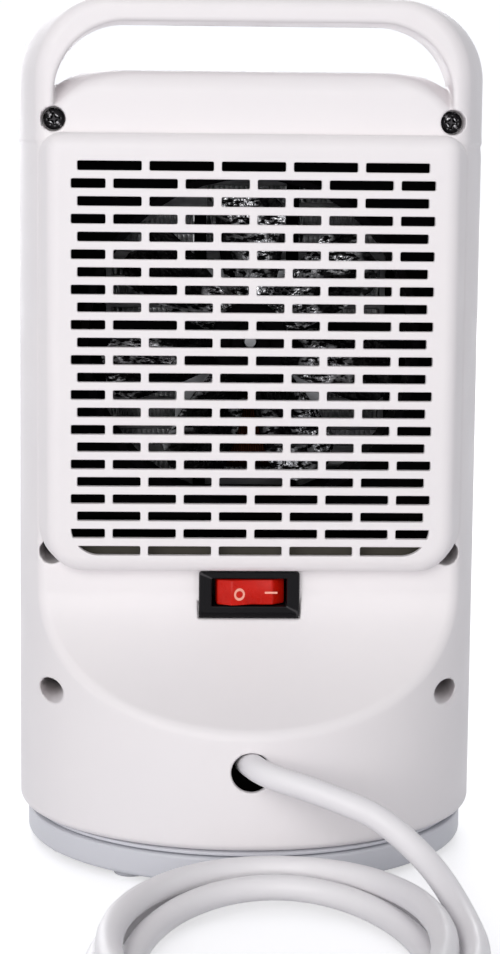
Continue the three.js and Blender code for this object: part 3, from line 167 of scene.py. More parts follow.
def tube(line, radius, sides):
    """Rings square to the line, turning as little as they can along it, and two flat ends."""
    along = np.gradient(line, axis=0)
    along /= np.linalg.norm(along, axis=1)[:, None]
    side = np.cross((0, 0, 1.0), along[0])
    points = []
    for p, t in zip(line, along):
        side = side - t * (side @ t)
        side /= np.linalg.norm(side)
        other = np.cross(t, side)
        for k in range(sides):
            angle = 2 * math.pi * k / sides
            points.append(p + radius * (math.cos(angle) * side + math.sin(angle) * other))
    return points, skinned(len(line), sides)


def arc(cx, cy, r, start, end, steps):
    angles = np.radians(np.linspace(start, end, steps + 1))
    return [(cx + r * math.cos(a), cy + r * math.sin(a)) for a in angles]


# ---------- turned pieces ----------

def lathe(name, profile, segments, place, axis, body, slot, replaced=(), skip=None):
    """A profile of (radius, height) turned about Z or Y, closed unless it starts on the axis."""
    points, faces, first = [], [], []
    for r, h in profile:
        first.append(len(points))
        for k in range(segments if r else 1):
            a = 2 * math.pi * k / segments
            u, v = r * math.cos(a), r * math.sin(a)
            p = (u, v, h) if axis == "z" else (u, h, -v)
            points.append([c + d for c, d in zip(place, p)])
    for i in range(len(profile) - (profile[0][0] == 0)):
        j = (i + 1) % len(profile)
        for k in range(segments):
            n = (k + 1) % segments
            if skip and skip(i, k):
                continue
            a0, a1 = (first[i] + step * (profile[i][0] > 0) for step in (k, n))
            b0, b1 = (first[j] + step * (profile[j][0] > 0) for step in (k, n))
            faces.append(tuple(dict.fromkeys((a0, a1, b1, b0))))
    return piece(name, points, faces, body, slot, replaced), first


# ---------- mains cord ----------

CORD_R, CORD_SIDES, CORD_STEP = 3.75, 20, 2.5
COIL_X, COIL_Y = -6, 150
PLUG_X, PLUG_Z = -62, 18.5
# How far the coil reaches from its middle and how high it lies, at each quarter turn.
COIL_QUARTERS = [
    (51, 11.8), (74, 11.8), (46.3, 11.8), (70.8, 10.3), (42.5, 14.2), (65.4, 11.9), (40.5, 3.9),
    (60, 8), (40.8, 3.8), (70.1, 3.8), (49.7, 3.8), (76.6, 3.8), (50.5, 3.8),
]
# From the clamp, out of the hole and down to the coil.
LEAD = [
    (1.5, 40, 36.2), (1.6, 50, 36.6), (1.2, 60, 37.4), (-0.6, 69, 38.2), (-2.8, 76, 38.3),
    (-6.2, 79, 37.5), (-16.2, 84, 35.6), (-26.4, 88.5, 32.7), (-34, 92, 30.4), (-41.4, 97, 25.9),
    (-48.2, 104, 20.7), (-52.4, 114, 17), (-55.6, 128, 13.4),
]


def eased(a, b, t):
    """From a to b, level at both ends."""
    return a + (b - a) * t * t * (3 - 2 * t)


def coil_reach(q, along):
    """The reach at q quarter turns across (along 0) or out from the heater (along 1)."""
    last = len(COIL_QUARTERS) - 1
    before = max(2 * math.floor((q - along) / 2) + along, along)
    after = min(before + 2, last - along)
    part = min(max((q - before) / (after - before), 0), 1) if after > before else 0
    return eased(COIL_QUARTERS[before][0], COIL_QUARTERS[max(after, before)][0], part)


def coil_point(q):
    i = min(math.floor(q), len(COIL_QUARTERS) - 2)
    height = eased(COIL_QUARTERS[i][1], COIL_QUARTERS[i + 1][1], q - i)
    angle = math.pi - q * math.pi / 2
    return (COIL_X + coil_reach(q, 0) * math.cos(angle),
            COIL_Y + coil_reach(q, 1) * math.sin(angle), height)


def cord_line():
    quarters = len(COIL_QUARTERS) - 1
    coil = [coil_point(q) for q in np.linspace(0, quarters, quarters * 8 + 1)]
    first, last = coil[0], coil[-1]
    tail = [
        (last[0], last[1] + 15.5, last[2] + 0.2), (last[0] - 1, last[1] + 37.5, last[2] + 0.8),
        (last[0] - 3, last[1] + 59.5, last[2] + 4),
        (PLUG_X, 230, 15), (PLUG_X, 242, 18.3), (PLUG_X, 251, PLUG_Z),
    ]
    before, after = (first[0], first[1] - 7.5, first[2]), (last[0], last[1] + 7.5, last[2])
    line = evened(catmull(LEAD + [before] + coil + [after] + tail, 2), CORD_STEP)
    for _ in range(3):
        line[1:-1] = (line[:-2] + 2 * line[1:-1] + line[2:]) / 4
    return line


cord_path = cord_line()
cord = piece("mains_cord", *tube(cord_path, CORD_R, CORD_SIDES), None, "cord",
             ("cord_stub", "cord_lead", "cord_coil", "cord_tail"))
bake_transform(cord)


def make_plug():
    """A grip that widens in ribbed steps to the round face that holds the pins."""
    profile = [(0, 250), (4.2, 250), (4.6, 250.4)]
    for k in range(5):
        r, y = 4.8 + 0.3 * k, 252.5 + 3.2 * k
        profile += [(r, y), (r + 0.15, y + 0.3), (r + 0.15, y + 1.7),
                    (r - 0.5, y + 2.0), (r - 0.5, y + 2.9)]
    profile += [(6.2, 268.6), (8.2, 269.6), (10.9, 271.2), (12.6, 275), (14, 280), (14.6, 286),
                (15.2, 290.4), (16.6, 293.6), (18.1, 296), (18.3, 298.5), (18.3, 301.6)]
    profile += arc(17.6, 302.3, 0.7, 0, 90, 5) + [(0, 303)]
    place = (PLUG_X, 0, PLUG_Z)
    return lathe("plug_skin", profile, 72, place, "y", "base", "cord", ["plug_body"])[0]


make_plug()


# ---------- moulded surfaces from fields: a field is below zero inside the plastic ----------

def both(a, b, r):
    """The overlap of two fields, its edge rounded with radius r."""
    u, v = np.maximum(a + r, 0), np.maximum(b + r, 0)
    return np.minimum(np.maximum(a, b), -r) + np.sqrt(u * u + v * v)


def either(a, b, r):
    """Two fields together, with a fillet of radius r."""
    u, v = np.maximum(r - a, 0), np.maximum(r - b, 0)
    return np.maximum(np.minimum(a, b), r) - np.sqrt(u * u + v * v)


def plate_field(x, y, hx, hy, r):
    """A rectangle with rounded corners, from its middle."""
    u, v = np.abs(x) - hx + r, np.abs(y) - hy + r
    corner = np.sqrt(np.maximum(u, 0) ** 2 + np.maximum(v, 0) ** 2)
    return np.minimum(np.maximum(u, v), 0) + corner - r


def net(field, low, high, step):
    """The surface where a field is zero: a point in each cell that it crosses, joined in fours."""
    axes = [np.arange(a, b + step, step) for a, b in zip(low, high)]
    grid = np.meshgrid(*axes, indexing="ij", sparse=True)
    value = field(*grid).astype(np.float32)
    inside = value < 0
    shape = np.array(value.shape)
    cells = np.zeros(shape - 1, np.int8)
    for i, j, k in itertools.product((0, 1), repeat=3):
        cells += inside[i:shape[0] - 1 + i, j:shape[1] - 1 + j, k:shape[2] - 1 + k]
    at = np.argwhere((cells > 0) & (cells < 8))
    number = np.full(shape - 1, -1, np.int64)
    number[tuple(at.T)] = np.arange(len(at))
    total, count = np.zeros((len(at), 3)), np.zeros(len(at))
    for axis, i, j in itertools.product(range(3), (0, 1), (0, 1)):
        a = at + np.insert([i, j], axis, 0)
        b = a.copy()
        b[:, axis] += 1
        va, vb = value[tuple(a.T)], value[tuple(b.T)]
        cut = (va < 0) != (vb < 0)
        place = a + 0.0
        place[:, axis] += np.where(cut, va / np.where(cut, va - vb, 1), 0)
        total[cut] += place[cut]
        count[cut] += 1
    points = drawn_on(field, np.array(low) + step * total / count[:, None], step)
    faces = []
    for axis in range(3):
        edge = np.argwhere(np.diff(inside, axis=axis))
        others = [k for k in range(3) if k != axis]
        edge = edge[(edge[:, others] > 0).all(1) & (edge[:, others] < shape[others] - 1).all(1)]
        corners = [np.insert(corner, axis, 0) for corner in ((1, 1), (0, 1), (0, 0), (1, 0))]
        ring = np.stack([number[tuple((edge - corner).T)] for corner in corners], 1)
        turned = inside[tuple(edge.T)] == (axis == 1)
        ring[turned] = ring[turned][:, ::-1]
        faces.append(ring)
    return points, np.concatenate(faces)


def gradient(field, p, e=0.05):
    """How the field changes about each point, over a distance e each way."""
    g = np.stack([field(*(p + e * d).T) - field(*(p - e * d).T) for d in np.eye(3)], 1)
    return g / (2 * e)


def drawn_on(field, points, step):
    """Moves the points on to the surface, by at most half a step at a time."""
    for _ in range(4):
        g = gradient(field, points)
        size = np.maximum((g * g).sum(1), 0.05)
        move = -(field(*points.T) / size)[:, None] * g
        far = np.linalg.norm(move, axis=1)
        points = points + move * np.minimum(1, 0.5 * step / np.maximum(far, 1e-9))[:, None]
    return points


NORMAL_REACH = 0.25


def net_piece(name, field, low, high, step, body, slot, replaced, keep=1.0):
    """A piece from a field, thinned to a share of its triangles, with normals from the field."""
    points, faces = net(field, low, high, step)
    mesh = bpy.data.meshes.new(name)
    mesh.vertices.add(len(points))
    mesh.vertices.foreach_set("co", (points * MM).astype(np.float32).ravel())
    mesh.loops.add(faces.size)
    mesh.loops.foreach_set("vertex_index", faces.astype(np.int32).ravel())
    mesh.polygons.add(len(faces))
    mesh.polygons.foreach_set("loop_start", np.arange(0, faces.size, 4, dtype=np.int32))
    mesh.update(calc_edges=True)
    mesh.validate()
    made = placed(name, mesh)
    if keep < 1:
        thin = made.modifiers.new("thin", "DECIMATE")
        thin.ratio = keep
        thin.use_collapse_triangulate = True
        with bpy.context.temp_override(object=made, active_object=made, selected_objects=[made]):
            bpy.ops.object.modifier_apply(modifier="thin")
    co = np.zeros(len(made.data.vertices) * 3, np.float32)
    made.data.vertices.foreach_get("co", co)
    n = gradient(field, co.reshape(-1, 3) / MM, NORMAL_REACH)
    n /= np.maximum(np.linalg.norm(n, axis=1), 1e-9)[:, None]
    made.data.shade_smooth()
    made.data.normals_split_custom_set_from_vertices(n.tolist())
    return entered(made, body, slot, replaced)


SKIN_REACH = 0.45
# The box behind the intake cover where the shell's faces get painted shade.
BEHIND_X, BEHIND_LOW, BEHIND_HIGH, BEHIND_Y = 58, 94, 221, 25


def give_looks(made):
    """Room for a piece's own look, the painted shade of its inside and the painted shade behind the
    cover.
    """
    made["dark_faces"] = 1
    for _ in range(3):
        made.data.materials.append(None)


def darken(made, inner):
    """Paints shade: the inner surface gets the near-black second look and what lies behind the
    cover the darker third.
    """
    middle = np.zeros(len(made.data.polygons) * 3, np.float32)
    made.data.polygons.foreach_get("center", middle)
    x, y, z = (middle.reshape(-1, 3) / MM).astype(float).T
    inside_shade_mask = np.abs(inner(x, y, z)) < SKIN_REACH
    shaded = (np.abs(x) < BEHIND_X) & (z > BEHIND_LOW) & (z < BEHIND_HIGH) & (y > BEHIND_Y)
    give_looks(made)
    made.data.polygons.foreach_set("material_index", np.where(shaded, 2, inside_shade_mask).astype(np.int32))


# ---------- housing ----------

HALF_WIDTH, HALF_DEPTH = 72.1, 68.3
SQUEEZE = HALF_DEPTH / HALF_WIDTH
SKIN_SCALE = 0.97  # brings distances from the oval wall near to millimetres
BODY_BOTTOM, DOME_TOP, DOME_ROUND = 11.8, 243, 27
BACK_Y, SCOOP_TOP, SCOOP_LIP, SCOOP_POWER = 31, 84, 47.7, 1.8
HANDLE_TOP, HANDLE_BAR, HANDLE_CORNER, RAIL_INNER, WINDOW_CORNER = 264, 7.2, 24, 60, 22
HANDLE_FRONT_Y, LOOP_HALF, LOOP_FOOT_Z = -8, 60, 221
SPREAD_R, WINDOW_DRAFT = 30, 0.05
WALL = 2.4
# Each pair of screws: how far out, how high, where its seat lies and how far its recess is turned.
SCREWS = {"top": (60.2, 227.6, 23, 8), "middle": (60.8, 96, 6, 31), "low": (60.5, 53.8, 6, 57)}
WELL_R, WELL_TUBE_R, BOSS_R = 3.75, 5.75, 5
CORD_HOLE_R, CORD_HOLE_Z = 6, 36
SWITCH_Z = 83.1
AIR_Z = 160  # the middle of the intake, the fan and the outlet
PANEL_Y = -29
# Half sizes of the openings and of the block that holds the switch.
INTAKE, OUTLET, PANEL = (56.5, 60.2), (46, 60), (25, 12)
SWITCH_BLOCK, SWITCH_POCKET, SWITCH_CUT = (19, 10.5), (15.8, 7.5), (13.7, 6.1)
SPLIT_GAP = 0.15


def back_surface(z):
    """How far out the rear lies at a height, and its slope: the flat back, then the scoop."""
    part = np.clip((SCOOP_TOP - z) / (SCOOP_TOP - SCOOP_LIP), 0, 1.3)
    depth = HALF_DEPTH - BACK_Y
    slope = depth * SCOOP_POWER * part ** (SCOOP_POWER - 1) / (SCOOP_TOP - SCOOP_LIP)
    return BACK_Y + depth * part ** SCOOP_POWER, slope


def oval(x, y):
    return np.sqrt(x * x + (y / SQUEEZE) ** 2)


def housing_field(x, y, z, inset):
    """The outside of the housing, with its skin moved in by the inset."""
    outer_skin = inset == 0
    wall = (oval(x, y) - HALF_WIDTH + inset) * SKIN_SCALE
    dome = both(wall, z - DOME_TOP + inset, DOME_ROUND - inset)
    dome = both(dome, BODY_BOTTOM + inset - z, max(2.4 - inset, 0.4))
    surface, slope = back_surface(z)
    behind = (y - surface) / np.sqrt(1 + slope * slope) + inset
    behind = both(behind, z - DOME_TOP + inset, 8 - inset)
    body = both(dome, behind, 2.2 if outer_skin else 0.3)
    chord = np.maximum(HALF_WIDTH ** 2 - (y / SQUEEZE) ** 2, SPREAD_R ** 2)
    spread = HALF_WIDTH / np.sqrt(chord)  # lets the loop's ends follow the oval wall
    up = z - HANDLE_TOP
    outer = plate_field(x * spread, up + LOOP_HALF, HALF_WIDTH - inset, LOOP_HALF - inset,
                        HANDLE_CORNER - inset)
    side = RAIL_INNER + inset + (BACK_Y - y) * WINDOW_DRAFT
    window = plate_field(x, up + HANDLE_BAR + LOOP_HALF, side, LOOP_HALF + inset,
                         WINDOW_CORNER + inset)
    middle = (BACK_Y + HANDLE_FRONT_Y) / 2
    slab = np.abs(y - middle) - (BACK_Y - middle) + inset
    loop = both(outer, slab, 3.4 if outer_skin else 1.0)
    loop = both(loop, -window, 1.4 if outer_skin else 0.6)
    loop = both(loop, LOOP_FOOT_Z - z, 0.5)
    return either(body, loop, 1.2 if outer_skin else 0.5)


def rods_field(x, y, z, radius):
    """Six endless rods on the screws' lines; the last term gives the result the shape of y."""
    rods = [np.sqrt((np.abs(x) - px) ** 2 + (z - pz) ** 2) for px, pz, *_ in SCREWS.values()]
    return np.minimum(np.minimum(rods[0], rods[1]), rods[2]) - radius + 0 * y


def hollow_field(x, y, z):
    hollow = housing_field(x, y, z, WALL)
    opening = np.maximum(oval(x, y) - 62, z - BODY_BOTTOM - WALL - 1)
    return np.minimum(hollow, opening)


def rear_hollow(x, y, z):
    return np.maximum(hollow_field(x, y, z), -rods_field(x, y, z, WELL_TUBE_R))


def front_hollow(x, y, z):
    return np.maximum(hollow_field(x, y, z), -rods_field(x, y, z, BOSS_R))


def by_switch(x, z, half_x, half_z):
    return np.maximum(np.abs(x) - half_x, np.abs(z - SWITCH_Z) - half_z)


def rear_shell_field(x, y, z):
    block = np.maximum(by_switch(x, z, *SWITCH_BLOCK), 28.4 - y)
    made = both(housing_field(x, y, z, 0), -np.maximum(rear_hollow(x, y, z), -block), 0.3)
    for px, pz, seat, _ in SCREWS.values():
        well = np.sqrt((np.abs(x) - px) ** 2 + (z - pz) ** 2) - WELL_R
        made = both(made, -np.maximum(well, seat - y), 0.45)
    pocket = np.maximum(plate_field(x, z - SWITCH_Z, *SWITCH_POCKET, 0.6), BACK_Y - y)
    made = both(made, -pocket, 0.5)
    cut = np.maximum(by_switch(x, z, *SWITCH_CUT), 10 - y)
    intake = np.maximum(plate_field(x, z - AIR_Z, *INTAKE, 4), np.abs(y - 40) - 20)
    hole = np.maximum(np.sqrt(x * x + (z - CORD_HOLE_Z) ** 2) - CORD_HOLE_R, 40 - y)
    made = both(made, -np.minimum(cut, intake), 0.3)
    return both(both(made, -hole, 0.5), SPLIT_GAP - y, 0.3)


def outlet_field(x, z, grow):
    return plate_field(x, z - AIR_Z, OUTLET[0] + grow, OUTLET[1] + grow, 6)


def front_shell_field(x, y, z):
    made = both(housing_field(x, y, z, 0), -front_hollow(x, y, z), 0.3)
    outlet = np.maximum(outlet_field(x, z, 0), y + 20)
    panel = np.maximum(plate_field(x, y - PANEL_Y, *PANEL, 5), DOME_TOP - 10 - z)
    made = both(both(made, -outlet, 0.6), -panel, 0.4)
    return both(made, y + SPLIT_GAP, 0.3)


def grille_field(x, y, z):
    """A plate that follows the wall, with a lip behind the opening and two columns of slots."""
    depth, up, pitch = (oval(x, y) - HALF_WIDTH) * SKIN_SCALE, z - AIR_Z, 7.2
    plug = both(outlet_field(x, z, -0.3), np.abs(depth + 2.5) - 1.9, 0.5)
    lip = np.maximum(outlet_field(x, z, 4), np.abs(depth + 3.55) - 0.85)
    made = np.maximum(np.minimum(plug, lip), y + 20)
    row = np.abs(up / pitch - np.round(up / pitch)) * pitch
    slot = plate_field(np.abs(x) - 21.1, row, 19.9, 2.4, 0.9)
    return both(made, -np.maximum(slot, np.abs(up) - 52), 0.5)


SHELL_STEP, GRILLE_STEP, SCREW_STEP = ((0.75, 0.6, 0.16))
KEEP = 0.42  # leaves each shell fewer than 200,000 triangles
darken(net_piece("rear_shell_skin", rear_shell_field, (-74, -1.5, 9), (74, 71, 267), SHELL_STEP,
                 "housing", "shell", ["rear_shell"], KEEP), rear_hollow)
darken(net_piece("front_shell_skin", front_shell_field, (-74, -70.5, 9), (74, 1.5, 267),
                 SHELL_STEP, "housing", "shell", ["front_shell"], KEEP), front_hollow)
net_piece("outlet_grille_skin", grille_field, (-52, -71, 92), (52, -38, 228), GRILLE_STEP,
          "housing", "outlet", ["outlet_grille"], 0.6)


# ---------- rear intake cover ----------

COVER_FACE_Y, COVER_FOOT_Y = 38.3, 31.3
COVER_HALF, COVER_BOTTOM, COVER_TOP = 61, 92.5, 222
COVER_DRAFT, COVER_LOW_DRAFT, COVER_LEAN, COVER_SOFT = 3.5, 1.6, 63, 3.2
SLOT_ROWS, SLOT_TOP_Z, SLOT_PITCH, SLOT_HEIGHT = 23, 214, 5.29, 2.85
SLOT_LONG, SLOT_SHORT, SLOT_WEB = 19.2, 10.4, 2.35
FIELD_HALF, FIELD_CORNER = 54.6, 8.5


def rounded_rect(x0, x1, z0, z1, low_r, high_r, steps):
    return (arc(x1 - low_r, z0 + low_r, low_r, -90, 0, steps)
            + arc(x1 - high_r, z1 - high_r, high_r, 0, 90, steps)
            + arc(x0 + high_r, z1 - high_r, high_r, 90, 180, steps)
            + arc(x0 + low_r, z0 + low_r, low_r, 180, 270, steps))


def cover_outline(inset, grow):
    return rounded_rect(-COVER_HALF - grow + inset, COVER_HALF + grow - inset,
                        COVER_BOTTOM - min(grow, COVER_LOW_DRAFT) + inset,
                        COVER_TOP + min(grow, COVER_LOW_DRAFT) - inset,
                        10.5 + grow - inset, max(3.4 + grow - min(inset, 1.5), 0.8), 12)


def clipped(polygon, border):
    """The overlap of two convex outlines that run anticlockwise."""
    for a, b in zip(border, border[1:] + border[:1]):
        if not polygon:
            return polygon
        side = [(b[0] - a[0]) * (p[1] - a[1]) - (b[1] - a[1]) * (p[0] - a[0]) for p in polygon]
        out = []
        for i, p in enumerate(polygon):
            j = (i + 1) % len(polygon)
            if side[i] >= 0:
                out.append(p)
            if (side[i] >= 0) != (side[j] >= 0):
                t = side[i] / (side[i] - side[j])
                out.append(tuple(u + t * (v - u) for u, v in zip(p, polygon[j])))
        polygon = out
    return polygon


def softened(polygon, radius):
    """The outline with its sharp corners rounded and its points no nearer than 0.05 mm."""
    out = []
    for i in range(len(polygon)):
        a, p, b = (np.array(polygon[k % len(polygon)]) for k in (i - 1, i, i + 1))
        to_p, to_b = np.linalg.norm(p - a), np.linalg.norm(b - p)
        u, v = (p - a) / max(to_p, 1e-9), (b - p) / max(to_b, 1e-9)
        if u[0] * v[0] + u[1] * v[1] > 0.9:
            out.append(p)
            continue
        d = min(radius, 0.45 * to_p, 0.45 * to_b)
        for t in np.linspace(0, 1, 5):
            out.append((1 - t) ** 2 * (p - u * d) + 2 * t * (1 - t) * p + t * t * (p + v * d))
    kept = [out[0]]
    for p in out[1:]:
        if np.linalg.norm(p - kept[-1]) > 0.05 and np.linalg.norm(p - kept[0]) > 0.05:
            kept.append(p)
    return np.array(kept)


def outward(outline):
    """The direction out of an anticlockwise outline at each of its points."""
    along = np.roll(outline, -1, axis=0) - np.roll(outline, 1, axis=0)
    along /= np.linalg.norm(along, axis=1)[:, None]
    return np.stack([along[:, 1], -along[:, 0]], 1)


def slot_outlines():
    """Staggered rows, clipped to a field whose lower corners are round."""
    low = SLOT_TOP_Z - (SLOT_ROWS - 1) * SLOT_PITCH - SLOT_HEIGHT / 2
    field = rounded_rect(-FIELD_HALF, FIELD_HALF, low, SLOT_TOP_Z + 5, FIELD_CORNER, 1, 14)
    pitch = SLOT_LONG + SLOT_WEB
    slots = []
    for row in range(SLOT_ROWS):
        z = SLOT_TOP_Z - row * SLOT_PITCH
        z0, z1 = z - SLOT_HEIGHT / 2, z + SLOT_HEIGHT / 2
        count = 4 if row % 2 else 5
        spans = [((i - (count - 1) / 2) * pitch - SLOT_LONG / 2, SLOT_LONG) for i in range(count)]
        if row % 2:
            outer = 2 * pitch + SLOT_WEB / 2
            spans += [(outer, SLOT_SHORT), (-outer - SLOT_SHORT, SLOT_SHORT)]
        for x, width in spans:
            box = [(x, z0), (x + width, z0), (x + width, z1), (x, z1)]
            slots.append(softened(clipped(box, field), 0.55))
    return slots


def holed_face(outline, holes):
    """Triangles between an outline and the holes in it, as indices into all their points."""
    loops = [outline] + holes
    points = np.concatenate(loops)
    edges, start = [], 0
    for loop in loops:
        edges += [(start + i, start + (i + 1) % len(loop)) for i in range(len(loop))]
        start += len(loop)
    found = geometry.delaunay_2d_cdt([Vector(p) for p in points], edges, [], 0, 1e-6)
    faces, first = found[2], [origin[0] for origin in found[3]]
    faces = np.array([[first[k] for k in f] for f in faces])
    middle = points[faces].mean(1)
    keep = np.ones(len(faces), bool)
    for hole in holes:
        low, high = hole.min(0), hole.max(0)
        near = np.flatnonzero(((middle > low) & (middle < high)).all(1))
        step = np.roll(hole, -1, axis=0) - hole
        away = middle[near][:, None] - hole[None]
        inside = (step[None, :, 0] * away[..., 1] - step[None, :, 1] * away[..., 0] > 0).all(1)
        keep[near[inside]] = False
    return faces[keep]


class Lofted:
    """Points, faces and normals gathered ring by ring; a ring is an X-Z outline at a depth Y."""

    def __init__(self):
        self.points, self.normals, self.faces = [], [], []

    def ring(self, outline, y, lean):
        """lean is 0 where the surface faces +Y and 90 where it faces out of the outline."""
        out = outward(np.array(outline)) * math.sin(math.radians(lean))
        start = len(self.points)
        for p, n in zip(outline, out):
            self.points.append((p[0], y, p[1]))
            self.normals.append((n[0], math.cos(math.radians(lean)), n[1]))
        return list(range(start, start + len(outline)))

    def strips(self, rings):
        for a, b in zip(rings, rings[1:]):
            self.faces += zip(a, b, b[1:] + b[:1], a[1:] + a[:1])


def make_cover():
    made = Lofted()
    rings = [made.ring(cover_outline(0, COVER_DRAFT), COVER_FOOT_Y, COVER_LEAN),
             made.ring(cover_outline(0, COVER_DRAFT * 4 / 7), COVER_FOOT_Y + 3.0, COVER_LEAN)]
    for t in np.linspace(0, 1, 8):
        grow = (1 - t) ** 2 * COVER_SOFT * 0.4 - t * t * COVER_SOFT
        y = COVER_FACE_Y - (1 - t) ** 2 * COVER_SOFT * 0.8
        outline = cover_outline(max(-grow, 0), max(grow, 0))
        rings.append(made.ring(outline, y, COVER_LEAN * (1 - t)))
    made.strips(rings)
    slots = slot_outlines()
    wide = [s + 0.3 * outward(s) for s in slots]
    tops = [made.ring(s, COVER_FACE_Y, 0) for s in wide]
    face = holed_face(np.array(cover_outline(COVER_SOFT, 0)), wide)
    order = rings[-1] + [k for ring in tops for k in ring]
    made.faces += [tuple(order[k] for k in f) for f in face[:, ::-1]]
    inner = np.array(cover_outline(WALL, 0))
    floor = made.ring(inner, COVER_FACE_Y - WALL, 180)
    bottoms = []
    for slot, top in zip(slots, tops):
        soft_ring = made.ring(slot + 0.09 * outward(slot), COVER_FACE_Y - 0.09, -45)
        edge = made.ring(slot, COVER_FACE_Y - 0.3, -90)
        bottom = made.ring(slot, COVER_FACE_Y - WALL, -90)
        made.strips([top, soft_ring, edge, bottom])
        bottoms.append(bottom)
    shown = len(made.faces)
    back = holed_face(inner, slots)
    order = floor + [k for ring in bottoms for k in ring]
    made.faces += [tuple(order[k] for k in f) for f in back]
    foot = made.ring(cover_outline(WALL, COVER_DRAFT), COVER_FOOT_Y, COVER_LEAN - 180)
    made.strips([floor, foot, rings[0]])
    cover = piece("rear_cover_skin", made.points, made.faces, "housing", "shell", ["rear_cover"])
    cover.data.normals_split_custom_set_from_vertices(made.normals)
    give_looks(cover)
    # The cover's back face and inner foot get the painted shade of the inside.
    for i in range(shown, len(made.faces) - len(rings[0])):
        cover.data.polygons[i].material_index = 1


make_cover()


# ---------- base ----------

DISC_LOW, DISC_TOP, GAP_IN, GAP_OUT, GAP_ANGLE = 11.5, 14.2, 22.4, 29.6, 42


def make_base():
    """The base ring with its disc, and the curved gap that lets the drive shaft swing."""
    segments = 180
    profile = (arc(68.0, 3.6, 1.6, -90, 0, 5) + arc(68.8, 9.3, 0.8, 0, 90, 5)
               + [(65, 10.1), (65, 10.5)]
               + arc(67.75, 10.75, 0.25, -90, 0, 2) + arc(67.75, 11.25, 0.25, 0, 90, 2)
               + [(58, DISC_LOW), (58, 13.9), (57.7, DISC_TOP), (GAP_OUT, DISC_TOP),
                  (GAP_IN, DISC_TOP), (12.3, DISC_TOP), (12.3, DISC_LOW),
                  (GAP_IN, DISC_LOW), (GAP_OUT, DISC_LOW), (55.6, DISC_LOW),
                  (55.6, 7.7), (67.2, 7.7), (67.2, 2)])
    top = profile.index((GAP_OUT, DISC_TOP))
    low = profile.index((GAP_IN, DISC_LOW))
    inside = [abs((k + 0.5) * 360 / segments - 270) < GAP_ANGLE for k in range(segments)]
    base, first = lathe("base_skin", profile, segments, (0, 0, 0), "z", "base", "base",
                        ["base_shell"], skip=lambda i, k: i in (top, low) and inside[k])
    mesh = bmesh.new()
    mesh.from_mesh(base.data)
    mesh.verts.ensure_lookup_table()
    outer_top, inner_top = first[top], first[top + 1]
    inner_low, outer_low = first[low], first[low + 1]
    for k in range(segments):
        n = (k + 1) % segments
        if inside[k]:
            for a, b in ((outer_top, outer_low), (inner_low, inner_top)):
                mesh.faces.new([mesh.verts[v] for v in (a + k, b + k, b + n, a + n)])
        for here, beside in ((k, k - 1), (n, n)):
            if inside[k] and not inside[beside]:
                mesh.faces.new([mesh.verts[v + here]
                                for v in (outer_top, inner_top, inner_low, outer_low)])
    bmesh.ops.recalc_face_normals(mesh, faces=mesh.faces)
    mesh.to_mesh(base.data)
    mesh.free()
    base.data.shade_smooth()
    base.data.set_sharp_from_angle(angle=math.radians(SHARP_ANGLE))


make_base()
FOOT_PROFILE = [(0, 0), (4.2, 0)] + arc(4.5, 0.7, 0.7, -90, 0, 5) + [(5.2, 1.7), (0, 1.7)]
FOOT_CIRCLE_R, FOOT_ANGLES = 61.2, (126, 156, 204, 234, 306, 336, 384, 414)
for i, angle in enumerate(FOOT_ANGLES, 1):
    x, y = (FOOT_CIRCLE_R * f(math.radians(angle)) for f in (math.cos, math.sin))
    lathe(f"foot_pad_{i}", FOOT_PROFILE, 40, (x, y, 0), "z", "base", "rubber", [f"foot_{i}"])


# ---------- switch, screws, buttons ----------

BEZEL_FRONT_Y, OPENING_UP = 33.5, 0.8
SWITCH_SHARP = 30
ROCKER_PIVOT_Y, ROCKER_LEAN = 27.5, 8
# Half width, half height, corner, depth behind the bezel's face and offset up, from the back of
# the body round the bezel and into the opening.
SWITCH_RINGS = [
    (13.4, 5.8, 0.3, 23.2, 0), (13.4, 5.8, 0.3, 2.2, 0), (15.5, 7.2, 1.0, 2.2, 0),
    (15.5, 7.2, 1.0, 1.2, 0), (15.4, 6.75, 0.9, 0.5, 0.4), (15.15, 6.4, 0.8, 0.12, 0.6),
    (14.9, 6.15, 0.7, 0, 0.7), (14.8, 6.05, 0.65, 0, 0.7), (12.05, 4.7, 0.45, 0, 0.8),
    (11.95, 4.6, 0.4, 0, 0.8), (11.65, 4.4, 0.3, 0.12, 0.8), (11.55, 4.3, 0.3, 0.5, 0.8),
    (11.55, 4.3, 0.3, 19.2, 0.8),
]


def make_switch():
    made = Lofted()
    rings = []
    for half_x, half_z, radius, depth, up in SWITCH_RINGS:
        z = SWITCH_Z + up
        outline = rounded_rect(-half_x, half_x, z - half_z, z + half_z, radius, radius, 5)
        rings.append(made.ring(outline, BEZEL_FRONT_Y - depth, 0))
    made.strips(rings)
    made.faces.append(tuple(rings[0]))
    made.faces.append(tuple(reversed(rings[-1])))
    piece("switch_body_skin", made.points, made.faces, "housing", "black", ["switch_body"],
          SWITCH_SHARP)


def rocker_turn(points):
    """Leans points by half the throw about the rocker's pivot, so that its -X end is pressed in."""
    lean, mid = math.radians(ROCKER_LEAN), ROCKER_PIVOT_Y
    c, s = math.cos(lean), math.sin(lean)
    return [(x * c - (y - mid) * s, mid + x * s + (y - mid) * c, z) for x, y, z in points]


def make_rocker():
    half, front = 10.5, BEZEL_FRONT_Y
    outline = softened([(-half, front - 7), (0, front - 10), (half, front - 7), (half, front - 2.6),
                        (half - 4.2, front + 0.3), (0, front - 0.7), (4.2 - half, front + 0.3),
                        (-half, front - 2.6)], 0.45)
    points = []
    layers = ((-3.95, 0.55), (-3.8, 0.2), (-3.4, 0), (3.4, 0), (3.8, 0.2), (3.95, 0.55))
    for z, inset in layers:
        ring = outline - inset * outward(outline)
        points += [(x, y, SWITCH_Z + OPENING_UP + z) for x, y in ring]
    piece("rocker_skin", rocker_turn(points), skinned(len(layers), len(outline)), "rocker", "red",
          ["switch_rocker"], SWITCH_SHARP)


